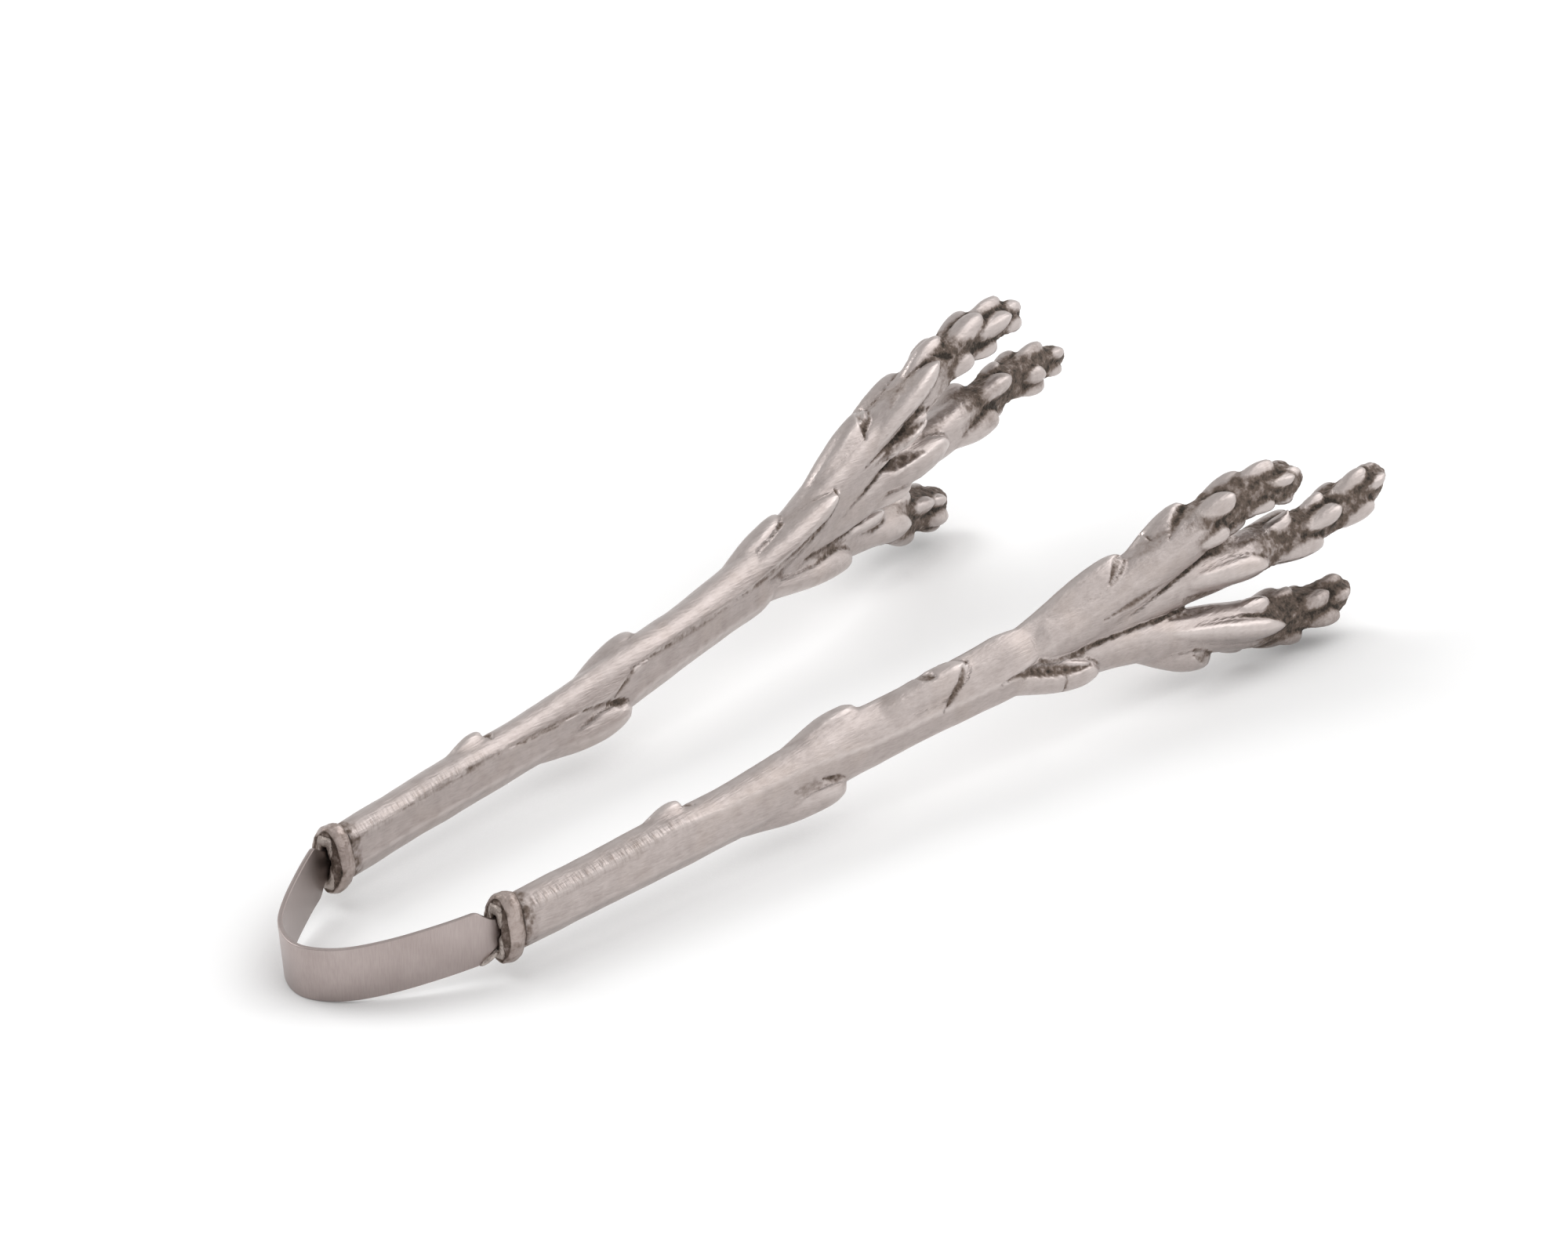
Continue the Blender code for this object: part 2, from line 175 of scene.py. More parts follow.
SPEARS["left"] = {
    "upper": (
        (141, 28, 17.2, 4.6, 4, 3.2),
        (152, 29.5, 20.2, 4.9, 4.3, 3.4),
        (163.1, 30.7, 24.4, 4.9, 4.4, 3.5),
        (175.9, 32.3, 29.2, 4.7, 4.3, 3.6),
        (189, 33.9, 33.9, 4.5, 4.2, 3.7),
        (203.6, 35.7, 38.4, 4.2, 4, 3.6),
        (217.2, 37.4, 39.4, 3.8, 3.8, 3.5),
        (225.4, 38.4, 38.8, 2.4, 2.4, 2.3),
    ),
    "middle": (
        (147, 28.9, 18.2, 3.4, 3.4, 3),
        (169.6, 31.5, 20.1, 3.9, 3.6, 3.2),
        (183.8, 33.3, 22, 4.2, 3.9, 3.4),
        (199.9, 35.2, 23.6, 4.3, 4, 3.5),
        (216.2, 37.3, 25.6, 4.2, 3.9, 3.5),
        (230.3, 39, 26, 3.9, 3.6, 3.3),
        (242.2, 40.4, 25.2, 2.2, 2.2, 2.1),
    ),
    "lower": (
        (141, 28.2, 14.6, 3.2, 3.2, 3),
        (153, 29.8, 14.4, 3.6, 3.4, 3.2),
        (164.9, 32.4, 13.6, 3.9, 3.6, 3.2),
        (179.5, 35.6, 11.4, 4.1, 3.8, 3.4),
        (194.9, 39.2, 8, 4.4, 4.1, 3.7),
        (203.8, 41, 6.3, 4.1, 3.8, 3.5),
        (209, 42.1, 5.6, 2.5, 2.4, 2.3),
    ),
}

# Where each spear's scaly head begins along x.
HEAD_START = {
    "right": {"upper": 181, "middle": 196, "lower": 194},
    "left": {"upper": 194, "middle": 204, "lower": 186},
}

# How brown each head is all over, and how far that dulls its lightened edges, which are partly wear and
# partly painted highlight.
HEAD_VEIL = {
    "right": {"upper": 0.26, "middle": 0.24, "lower": 0.44},
    "left": {"upper": 0.24, "middle": 0.36, "lower": 0.34},
}
HEAD_DULLING = 1.6

# Leaves: the guide they lie on, x of the foot and tip, angle of the foot and tip, width,
# rise of the leaf over the surface, and the gap under its free tip.
LEAVES = {}
LEAVES["right"] = (
    ("upper", 52, 65.5, 345, 345, 6, 1.5, 0.4),
    ("upper", 80, 106, 335, 345, 10, 1.6, 0),
    ("lower", 66, 98.5, 172, 143, 10, 2.4, 0.4),
    ("upper", 98, 128.5, 30, 21, 12, 1.7, 0.2),
    ("lower", 128, 156.5, 140, 108, 11, 2.4, 0.5),
    ("upper", 138, 168, 350, 352, 12, 2.4, 0.5),
    ("upper", 162, 184, 340, 332, 8.5, 1.8, 0.4),
    ("middle", 168, 198.5, 66, 102, 9.5, 1.8, 0.3),
    ("middle", 172, 194, 10, 0, 7, 1.2, 0.2),
    ("lower", 160, 200.5, 66, 86, 8.5, 1.7, 0.4),
    ("lower", 162, 185, 172, 158, 9.5, 2.8, 0.5),
)
LEAVES["left"] = (
    ("upper", 50, 64.5, 10, 15, 6, 1.5, 0.4),
    ("upper", 80, 106, 40, 28, 10, 1.6, 0),
    ("lower", 66, 97, 190, 225, 10, 2.4, 0.4),
    ("upper", 122, 151, 20, 25, 10, 1.6, 0.2),
    ("upper", 120, 161.5, 320, 303, 10.5, 1.9, 0.4),
    ("lower", 132, 167, 222, 236, 10.5, 2.2, 0.4),
    ("upper", 148, 179, 20, 25, 11.5, 2.3, 0.5),
    ("upper", 162, 195.5, 298, 322, 10, 1.9, 0.4),
    ("upper", 166, 188, 230, 245, 6.5, 2, 0.5),
    ("upper", 182, 201, 15, 8, 8.5, 1.8, 0.3),
    ("middle", 166, 196.5, 262, 280, 10.5, 2.2, 0.4),
    ("middle", 165, 184, 215, 235, 7, 1.4, 0),
    ("lower", 158, 180, 290, 318, 6.5, 1.2, 0.2),
    ("lower", 163, 189.5, 240, 268, 8.5, 1.7, 0.3),
)

# Cuts, pits and hollows that hold patina: guide, x and angle of one end and of the other,
# width, depth.
MARKS = {}
MARKS["right"] = (
    ("lower", 133, 96, 154, 84, 2, 0.6),
    ("lower", 147.5, 92, 148.5, 140, 0.7, 0.4),
    ("upper", 128.5, 12, 120, 88, 1.3, 0.45),
    ("upper", 118.2, 358, 120.4, 18, 2.2, 0.5),
    ("lower", 92.5, 98, 97.5, 122, 1.3, 0.5),
    ("upper", 161.5, 28, 168, 352, 0.9, 0.45),
    ("upper", 173.5, 335, 174, 12, 0.7, 0.4),
    ("upper", 168, 8, 178, 14, 3.2, 0.08),
    ("lower", 86, 92, 92, 104, 3, 0.05),
    ("middle", 184, 20, 196, 30, 3, 0.10),
    ("upper", 176, 30, 184.5, 334, 1.5, 0.35),
    ("lower", 179, 128, 185, 152, 1.3, 0.5),
    ("middle", 157, 60, 172, 45, 0.9, 0.3),
    ("lower", 174, 25, 186, 5, 1.6, 0.3),
    ("upper", 65.2, 330, 66.4, 2, 1.7, 0.5),
)
MARKS["left"] = (
    ("upper", 179.5, 45, 172.5, 335, 1.3, 0.45),
    ("middle", 175, 335, 187, 300, 3, 0.45),
    ("upper", 169, 284, 189, 240, 1.5, 0.6),
    ("lower", 91, 264, 96.5, 240, 1.3, 0.5),
    ("upper", 143, 292, 159, 274, 1.6, 0.45),
    ("upper", 161, 320, 160, 285, 0.8, 0.4),
    ("upper", 181, 335, 190, 345, 4, 0.08),
    ("upper", 180, 20, 186, 0, 3, 0.08),
    ("middle", 190, 330, 202, 345, 4, 0.10),
    ("lower", 150, 300, 165, 285, 2.5, 0.08),
    ("upper", 172, 255, 192, 236, 3.5, 0.12),
    ("upper", 196, 340, 199, 300, 1.6, 0.5),
    ("upper", 64.4, 352, 65.4, 24, 1.7, 0.5),
    ("upper", 40, 321, 68, 315, 1.2, 0.18),
    ("upper", 66, 316, 86, 295, 1.4, 0.25),
    ("upper", 84, 297, 92, 266, 1.4, 0.3),
    ("upper", 93, 271, 99, 316, 1.3, 0.3),
    ("upper", 98, 316, 130, 299, 1.4, 0.3),
    ("upper", 128, 300, 147, 295, 1.3, 0.3),
)
MARK_STEPS = 60
MARK_MARGIN = 8.0  # points this far past a mark's ends are tested too
MARK_PATINA = 0.85
MARK_RADIUS = 5.2  # turns degrees round a limb into millimetres
MARK_LIFTS = (-1.5, 3.5)  # a mark reaches only the skin between these heights
CREASE_WIDTH = 4.0  # degrees of patina left along a crease
CREASE_FADE = (-125.0, -95.0)  # and it fades out between these places, counted backwards
CHATTER_WIDTH = 13.0  # degrees beside the crease covered with a file's chatter ticks
CHATTER_SHIFT = 6.0  # which run this much nearer to the top
CHATTER_FADE = 52.0  # the ticks fade out between these places along x
CHATTER_END = 72.0

# Scales of the heads on the side seen best, in the leaves' columns.
SCALES = {}
SCALES["right"] = (
    ("upper", 176, 191.5, 25, 40, 8.5, 1.9, 0.3),
    ("upper", 180, 196.5, 325, 335, 7.8, 1.6, 0.2),
    ("upper", 188, 202.5, 10, 0, 8.3, 1.6, 0.2),
    ("upper", 176, 188, 88, 115, 7.3, 1.7, 0.2),
    ("upper", 187, 200.5, 115, 126, 6.8, 1.5, 0.2),
    ("upper", 194, 205, 72, 58, 6.3, 1.3, 0.1),
    ("upper", 199, 208, 30, 45, 5.6, 1.1, 0.1),
    ("upper", 199, 208.5, 325, 320, 5.6, 1.1, 0.1),
    ("middle", 192, 213.5, 122, 125, 9.3, 1.8, 0.2),
    ("middle", 194, 207.5, 35, 10, 7.6, 1.5, 0.2),
    ("middle", 202, 218.5, 65, 54, 8.3, 1.8, 0.2),
    ("middle", 206, 217.5, 5, 355, 6.8, 1.5, 0.1),
    ("middle", 212, 227.5, 28, 10, 7.6, 1.6, 0.2),
    ("middle", 212, 226, 118, 118, 7.6, 1.7, 0.2),
    ("middle", 220, 231, 72, 62, 6.3, 1.2, 0.1),
    ("middle", 222, 232, 345, 350, 5.6, 1, 0.1),
    ("lower", 184, 198, 30, 15, 7.8, 1.5, 0.2),
    ("lower", 194, 206.5, 155, 150, 7.3, 1.9, 0.3),
    ("lower", 193, 206.5, 15, 345, 7.3, 1.5, 0.2),
    ("lower", 199, 213, 58, 42, 7.3, 1.6, 0.2),
    ("lower", 201, 214.5, 98, 118, 7.6, 1.8, 0.2),
    ("lower", 207, 218.5, 5, 15, 6.8, 1.3, 0.1),
    ("lower", 208, 218.5, 75, 70, 6.1, 1.2, 0.1),
)
SCALES["left"] = (
    ("upper", 192, 211.5, 322, 340, 10, 1.7, 0.2),
    ("upper", 192, 205, 268, 242, 8.1, 1.8, 0.2),
    ("upper", 200, 218.5, 278, 296, 9.3, 1.8, 0.2),
    ("upper", 200, 220, 350, 5, 8.5, 1.6, 0.2),
    ("upper", 199, 214.5, 228, 220, 8.1, 1.8, 0.2),
    ("upper", 212, 225, 325, 322, 6.8, 1.3, 0.1),
    ("upper", 211, 224, 265, 248, 6.6, 1.5, 0.2),
    ("middle", 202, 220, 320, 312, 9, 1.8, 0.2),
    ("middle", 194, 214.5, 232, 226, 10, 2.4, 0.3),
    ("middle", 210, 221.5, 30, 15, 7.3, 1.5, 0.1),
    ("middle", 218, 235, 345, 358, 7.8, 1.6, 0.2),
    ("middle", 218, 232, 225, 222, 7.6, 1.8, 0.2),
    ("middle", 220, 231, 282, 266, 6.3, 1.9, 0.3),
    ("middle", 229, 240, 305, 310, 6.1, 1.3, 0.1),
    ("middle", 228, 239, 255, 238, 5.9, 1.3, 0.2),
    ("lower", 182, 195, 195, 200, 8.3, 2, 0.4),
    ("lower", 184, 199, 298, 303, 7.8, 1.6, 0.2),
    ("lower", 179, 192.5, 325, 342, 7.3, 1.5, 0.1),
    ("lower", 192, 204, 315, 298, 6.6, 1.4, 0.1),
    ("lower", 191, 205.5, 252, 247, 7.1, 1.6, 0.2),
    ("lower", 193, 205.5, 200, 208, 6.6, 1.4, 0.2),
)
HIDDEN_LEAF_FROM = 155.0  # a leaf with its foot beyond this x gets a mirrored fellow
HIDDEN_LEAF_SIDE = 0.5  # if the sine of its angle is past this, on either side
HIDDEN_LEAF_SHIFT = -4.0  # the fellow is moved along x by this much
HIDDEN_SPREAD = 0.6  # and keeps this share of its way from the hidden face's middle
FAR_SIDE_TURN = 180.0  # the far side's scales are the near side's, turned by this much
FAR_SIDE_SHIFT = -2.5  # and moved along x by this much

# Shape of leaves and scales, in millimetres or as shares of the length.
LEAF_STEPS = 26
LEAF_POINTS = 15
LEAF_SINK = 1.0  # how deep the foot starts under the surface
LEAF_DEPTH = 2.4  # how far the body reaches into the stalk
LEAF_WIDEST = 0.55
LEAF_RISEN = 0.8  # share of the length by which the leaf has its full rise
LEAF_POINTEDNESS = 0.6
LEAF_UNDERSIDE = 0.3  # the body's underside lies this much deeper still
LEAF_FREE_SHARE = 0.14  # share of the length at the tip that stands free
NOSE_SHARE = 0.16  # share of the length over which the tip rounds down
LEAF_SHOULDER = 2.5  # a higher power gives steeper edges
LEAF_KEEL = 0.22  # share of a sharp ridge along the middle
EDGE_START = 0.5  # a leaf is a soft swelling up to here, then its edges show
EDGE_FULL = 0.92

LIMB_STEPS = 8  # sections between two stations
LIMB_POINTS = 90
UPPER_CREASE = 52.0  # angles of the filed creases on both sides of a stalk
LOWER_CREASE = 122.0
CREASE_DRIFT_X = (30.0, 60.0, 90.0, 104.0, 134.0, 156.0)
CREASE_DRIFT = {
    "right": (-10.0, -20.0, 0.0, 27.0, 38.0, 12.0),
    "left": (-12.0, -10.0, 22.0, -6.0, 9.0, 12.0),
}
FACET_MEAN = 0.93
STALK_FACET_SHARE = {"right": 0.5, "left": 0.68}
SPEAR_FACET_SHARE = 0.2
HEAD_CORE_SHARE = 0.84  # the core under a head's scales keeps this share of the spear
HEAD_CORE_LENGTH = 8.0  # and thins over this length
START_TUCK = 0.9  # how much thinner a spear starts, inside the stalk
START_TUCK_LENGTH = 5.0  # and over what length it comes out
END_TUCK = 1.7  # how much thinner the stalk ends, inside the spears
END_TUCK_LENGTH = 11.0
TIP_LENGTH = 5.0  # a spear's tip rounds off over this length
TIP_ROUNDING = 0.72  # 1 would close it to a point
TIP_REACH = 3.6
INNER_POWER = 2.6  # above 2, the gripping side is flatter than an ellipse

VOXEL = 0.37
SOFTENING = 2  # passes that soften the union of all shapes

# Masks of the casting's finish: where each starts and where it is full.
FINE_PASSES = 8  # passes that smooth the surroundings a hollow is measured from
BROAD_PASSES = 60
FINE_HOLLOW = (0.015, 0.12)
BROAD_HOLLOW = (0.06, 0.40)
# Convex ridges whose metal colour is lightened: partly wear, partly painted highlight.
WORN_RIDGE_AND_HIGHLIGHT = (0.015, 0.11)
CORE_DEPTHS = (-0.95, -0.25)  # the heads' rough core shows at these depths
CORE_LIMIT = -1.6
SKIN = 1.0  # points this close to a stalk's surface are its own skin
HEAD_SKIN = 2.5
END_BROWN = (-31.5, -28.0)  # the brown ring at the stalk's end, counted backwards along x
END_CLEAN = (29.0, 33.0)  # and where its lightened edges, partly wear and partly painted highlight, start
AGED = (140.0, 185.0)  # hollows get browner along here
MOST_PATINA = 1.6
PIT_SIZE = 0.9
PIT_DEPTH = 0.22
WAVE_SIZE = 7.0
WAVE_DEPTH = 0.10


# ---------------------------------------------------------------- small tools

def to_frame(points, side=1.0):
    """Layout millimetres to the frame's metres; side -1 mirrors to the right arm."""
    low, high = (np.array(corner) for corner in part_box("spring_strip"))
    origin = np.array([low[0] / MM - STRIP_LOW[0],
                       (low[1] + high[1]) / 2 / MM,
                       low[2] / MM - STRIP_LOW[1]])
    points = np.array(points, dtype=float)
    return (points * (1.0, side, 1.0) + origin) * MM


def unit(vectors):
    return vectors / np.linalg.norm(vectors, axis=-1, keepdims=True)


def smooth_step(value, low, high):
    share = np.clip((value - low) / (high - low), 0.0, 1.0)
    return share * share * (3.0 - 2.0 * share)


def smooth_rows(rows, steps):
    """Rows of a Catmull-Rom curve through the given rows, with steps rows to each span."""
    rows = np.array(rows, dtype=float)
    padded = np.vstack([2 * rows[0] - rows[1], rows, 2 * rows[-1] - rows[-2]])
    out = []
    for index in range(1, len(padded) - 2):
        before, start, end, after = padded[index - 1:index + 3]
        for step in range(steps):
            t = step / steps
            out.append(0.5 * (2 * start + (end - before) * t
                              + (2 * before - 5 * start + 4 * end - after) * t ** 2
                              + (3 * start - before - 3 * end + after) * t ** 3))
    out.append(rows[-1])
    return np.array(out)


def wrapped(degrees):
    return (degrees + 180.0) % 360.0 - 180.0


def full_turn(count):
    return np.linspace(0, 2 * math.pi, count, endpoint=False)


def noise_field(points, size, octaves=3):
    """Smooth seeded noise with details of the given size, about -1 to 1."""
    scaled = np.array(points) / size
    return np.array([noise.fractal(Vector(point), 1.0, 2.0, octaves) for point in scaled])


class Soup:
    """Closed shapes that overlap, gathered into one mesh."""

    def __init__(self):
        self.points = []
        self.faces = []

    def add_loft(self, rings, caps=True):
        """Skin rings of equal length; without caps the last ring joins the first."""
        rings = [np.asarray(ring) for ring in rings]
        start = len(self.points)
        count = len(rings[0])
        for ring in rings:
            self.points.extend(ring.tolist())
        spans = len(rings) - 1 if caps else len(rings)
        for row in range(spans):
            first = start + row * count
            second = start + (row + 1) % len(rings) * count
            for index in range(count):
                after = (index + 1) % count
                self.faces.append((first + index, first + after, second + after, second + index))
        if caps:
            last = start + (len(rings) - 1) * count
            self.faces.append(tuple(range(start + count - 1, start - 1, -1)))
            self.faces.append(tuple(range(last, last + count)))

    def mesh(self, name):
        made = bpy.data.meshes.new(name)
        made.from_pydata(self.points, [], self.faces)
        bm = bmesh.new()
        bm.from_mesh(made)
        bmesh.ops.recalc_face_normals(bm, faces=bm.faces)
        bm.to_mesh(made)
        bm.free()
        return made


def add_object(name, data):
    made = bpy.data.objects.new(name, data)
    bpy.context.scene.collection.objects.link(made)
    return made


def add_piece(name, mesh, material, nodes):
    """Link a finished mesh as a piece that stands for the given CAD nodes."""
    mesh.shade_smooth()
    mesh.materials.append(material)
    piece = add_object(name, mesh)
    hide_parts(*nodes)
    return piece


# ---------------------------------------------------------------- stalks and spears

def crease_angle(x, side):
    """Where the upper crease runs, in degrees from the top."""
    return UPPER_CREASE + np.interp(x, CREASE_DRIFT_X, CREASE_DRIFT[side])


def facet_reach(angle, x, side):
    """Reach of the filed polygon: corners at the top, the bottom and two creases on each side."""
    folded = np.degrees(np.abs((angle + math.pi) % (2 * math.pi) - math.pi))
    upper = crease_angle(x, side)
    lower = LOWER_CREASE + 0.5 * (upper - UPPER_CREASE)
    low = np.where(folded < upper, 0.0, np.where(folded < lower, upper, lower))
    high = np.where(folded < upper, upper, np.where(folded < lower, lower, 180.0))
    return np.cos(np.radians(high - low) / 2) / np.cos(np.radians(folded - (low + high) / 2))


class Limb:
    """A stalk or spear: smoothed stations with an oval, faceted section at each."""

    def __init__(self, side, stations, facet_share=SPEAR_FACET_SHARE, core_from=None):
        self.side = side
        self.rows = smooth_rows(stations, LIMB_STEPS)
        self.facet_share = facet_share
        self.core_from = core_from
        forward = unit(np.gradient(self.rows[:, :3], axis=0))
        up = unit(UP - forward * forward[:, 2:3])
        self.columns = np.hstack([self.rows, forward, up, np.cross(up, forward)])

    def sample(self, x):
        """Centre, sizes, forward, up and outward at places along x."""
        x = np.atleast_1d(x)
        found = np.stack([np.interp(x, self.rows[:, 0], column) for column in self.columns.T], axis=-1)
        return found[:, :3], found[:, 3:6], found[:, 6:9], found[:, 9:12], found[:, 12:15]

    def reach(self, sizes, angle, x):
        """Distance from the axis to the surface at an angle from the top."""
        side = np.sin(angle)
        depth = np.where(side > 0, sizes[:, 1], sizes[:, 2])
        power = np.where(side > 0, 2.0, INNER_POWER)
        oval = ((np.abs(np.cos(angle)) / sizes[:, 0]) ** power
                + (np.abs(side) / depth) ** power) ** (-1.0 / power)
        faceted = 1.0 + self.facet_share * (facet_reach(angle, x, self.side) - FACET_MEAN)
        if self.core_from is not None:
            faceted = faceted * (1.0 - (1.0 - HEAD_CORE_SHARE)
                                 * smooth_step(x, self.core_from, self.core_from + HEAD_CORE_LENGTH))
        return oval * faceted

    def surface(self, x, angle, lift):
        """Points that stand lift over the surface."""
        x, angle, lift = np.broadcast_arrays(*(np.atleast_1d(value) for value in (x, angle, lift)))
        centre, sizes, _, up, outward = self.sample(x)
        radius = self.reach(sizes, angle, x) + lift
        return centre + (up * np.cos(angle)[:, None] + outward * np.sin(angle)[:, None]) * radius[:, None]

    def rings(self, start_tuck=0.0, end_tuck=0.0):
        """Sections all along, drawn in where an end hides in another limb."""
        angles = full_turn(LIMB_POINTS)
        places = self.rows[:, 0]
        drawn_in = (start_tuck * (1.0 - smooth_step(places, places[0], places[0] + START_TUCK_LENGTH))
                    + end_tuck * smooth_step(places, places[-1] - END_TUCK_LENGTH, places[-1]))
        return [self.surface(x, angles, -tuck) for x, tuck in zip(places, drawn_in)]

    def lift_of(self, points):
        """How far points stand over the surface, their place along x and their angle."""
        x = points[:, 0].copy()
        for _ in range(3):
            centre, _, forward, _, _ = self.sample(x)
            x += ((points - centre) * forward).sum(axis=1) * forward[:, 0]
        centre, sizes, _, up, outward = self.sample(x)
        away = points - centre
        angle = np.arctan2((away * outward).sum(axis=1), (away * up).sum(axis=1))
        return np.linalg.norm(away, axis=1) - self.reach(sizes, angle, x), x, angle


def leaf_rings(limb, foot, tip, foot_angle, tip_angle, width, rise, gap):
    """A pointed leaf that swells out of the limb and ends in a rounded, slightly free tip."""
    turn = wrapped(tip_angle - foot_angle)
    across = np.linspace(-1.0, 1.0, LEAF_POINTS)
    shoulder = ((1.0 - np.abs(across) ** LEAF_SHOULDER) ** (1.0 / LEAF_SHOULDER) * (1.0 - LEAF_KEEL)
                + (1.0 - np.abs(across)) * LEAF_KEEL)
    swelling = np.cos(across * math.pi / 2) ** 2
    rings = []
    for along in np.linspace(0.0, 0.995, LEAF_STEPS):
        x = foot + (tip - foot) * along
        widening = 0.5 + 0.5 * smooth_step(along, 0.0, LEAF_WIDEST)
        outline = (1.0 - along ** 3) ** LEAF_POINTEDNESS * widening
        nose = max(0.0, (along - 1.0 + NOSE_SHARE) / NOSE_SHARE)
        height = (rise + LEAF_SINK) * smooth_step(along, 0.0, LEAF_RISEN) - LEAF_SINK
        crest = gap + (height - gap) * math.sqrt(1.0 - nose * nose)
        sizes = limb.sample(x)[1]
        middle = math.radians(foot_angle + turn * along)
        spread = width / 2 * outline / float(limb.reach(sizes, np.array([middle]), x)[0])
        edged = smooth_step(along, EDGE_START, EDGE_FULL)
        top = (((crest + LEAF_DEPTH) * shoulder - LEAF_DEPTH) * edged
               + ((crest + LEAF_SINK) * swelling - LEAF_SINK) * (1.0 - edged))
        free = smooth_step(along, 1.0 - LEAF_FREE_SHARE, 1.0 - LEAF_FREE_SHARE * 0.6) if gap else 0.0
        bottom = -LEAF_DEPTH - LEAF_UNDERSIDE + (gap + LEAF_DEPTH + LEAF_UNDERSIDE) * free
        under = np.minimum(top - 0.05, bottom)
        angles = middle + across * spread
        rings.append(np.vstack([limb.surface(x, angles, top),
                                limb.surface(x, angles[::-1], under[::-1])]))
    return rings


def moved(shape, shift, turned):
    """The same leaf or scale moved along the spear, with its angles changed by turned()."""
    name, foot, tip, foot_angle, tip_angle, *sizes = shape
    return (name, foot + shift, tip + shift, turned(foot_angle), turned(tip_angle), *sizes)


def hidden_shapes(side):
    """Leaves and scales for the faces that the main view doesn't show."""
    middle = 90.0 if SIDES[side] > 0 else 270.0

    def mirrored(angle):
        return middle + ((-angle) % 360.0 - middle) * HIDDEN_SPREAD

    def opposite(angle):
        return angle + FAR_SIDE_TURN

    leaves = [moved(leaf, HIDDEN_LEAF_SHIFT, mirrored) for leaf in LEAVES[side]
              if leaf[1] > HIDDEN_LEAF_FROM and abs(math.sin(math.radians(leaf[3]))) > HIDDEN_LEAF_SIDE]
    return leaves + [moved(scale, FAR_SIDE_SHIFT, opposite) for scale in SCALES[side]]


def arm_limbs(side):
    limbs = {"stalk": Limb(side, STALK, STALK_FACET_SHARE[side])}
    for spear, stations in SPEARS[side].items():
        limbs[spear] = Limb(side, stations, core_from=HEAD_START[side][spear])
    return limbs


def arm_guides(side):
    """Each spear with the stalk before it, as one run for the leaves to lie on."""
    return {spear: Limb(side, STALK[:-1] + stations[1:], STALK_FACET_SHARE[side], HEAD_START[side][spear])
            for spear, stations in SPEARS[side].items()}


def arm_soup(side, limbs):
    soup = Soup()
    guides = arm_guides(side)
    for name, limb in limbs.items():
        soup.add_loft(limb.rings(end_tuck=END_TUCK) if name == "stalk" else limb.rings(START_TUCK))
    for name, *shape in (*LEAVES[side], *SCALES[side], *hidden_shapes(side)):
        soup.add_loft(leaf_rings(guides[name], *shape))
    return soup


def remeshed(mesh, name):
    """The union of all closed shapes as one even skin."""
    helper = add_object(name, mesh)
    remesh = helper.modifiers.new("union", "REMESH")
    remesh.mode = "VOXEL"
    remesh.voxel_size = VOXEL
    soften = helper.modifiers.new("soften", "SMOOTH")
    soften.factor = 0.5
    soften.iterations = SOFTENING
    depsgraph = bpy.context.evaluated_depsgraph_get()
    made = bpy.data.meshes.new_from_object(helper.evaluated_get(depsgraph))
    bpy.data.objects.remove(helper, do_unlink=True)
    return made


def read(items, name, width, kind):
    values = np.empty(len(items) * width, dtype=kind)
    items.foreach_get(name, values)
    return values.reshape(-1, width)


def mesh_arrays(mesh):
    """Points, their normals, and the pairs of points that edges join."""
    return (read(mesh.vertices, "co", 3, np.float32).astype(float),
            read(mesh.vertex_normals, "vector", 3, np.float32).astype(float),
            read(mesh.edges, "vertices", 2, np.int32))


def relaxed(points, edges, passes):
    """Points moved towards the mean of their neighbours, pass after pass."""
    count = len(points)
    degree = np.bincount(edges.ravel(), minlength=count)[:, None]
    points = points.copy()
    for _ in range(passes):
        total = np.stack([np.bincount(edges[:, 0], points[edges[:, 1], axis], count)
                          + np.bincount(edges[:, 1], points[edges[:, 0], axis], count)
                          for axis in range(3)], axis=-1)
        points += 0.7 * (total / degree - points)
    return points


def carve_marks(side, points, normals):
    """Sink the marks into the surface; gives how far each point lies inside one."""
    guides = arm_guides(side)
    marked = np.zeros(len(points))
    for name, x0, angle0, x1, angle1, width, depth in MARKS[side]:
        near = np.flatnonzero((points[:, 0] > min(x0, x1) - MARK_MARGIN)
                              & (points[:, 0] < max(x0, x1) + MARK_MARGIN))
        lift, x, angle = guides[name].lift_of(points[near])
        turn = wrapped(angle1 - angle0)
        share = np.linspace(0.0, 1.0, MARK_STEPS)[None, :]
        around = wrapped(np.degrees(angle)[:, None] - angle0 - turn * share)
        along = x[:, None] - x0 - (x1 - x0) * share
        distance = np.hypot(along, np.radians(around) * MARK_RADIUS)
        taper = np.sin(math.pi * np.clip(share, 0.08, 0.92))
        ragged = noise_field(points[near], 1.2, 3)
        inside = 1.0 - smooth_step((distance / (width / 2 * taper)).min(axis=1) + 0.6 * ragged, 0.5, 1.6)
        inside = inside * (lift > MARK_LIFTS[0]) * (lift < MARK_LIFTS[1])
        points[near] -= normals[near] * (depth * inside * (0.8 + 0.8 * ragged))[:, None]
        stain = inside * (MARK_PATINA + 0.5 * ragged) * min(1.0, 0.35 + 1.2 * depth)
        marked[near] = np.maximum(marked[near], stain)
    return marked


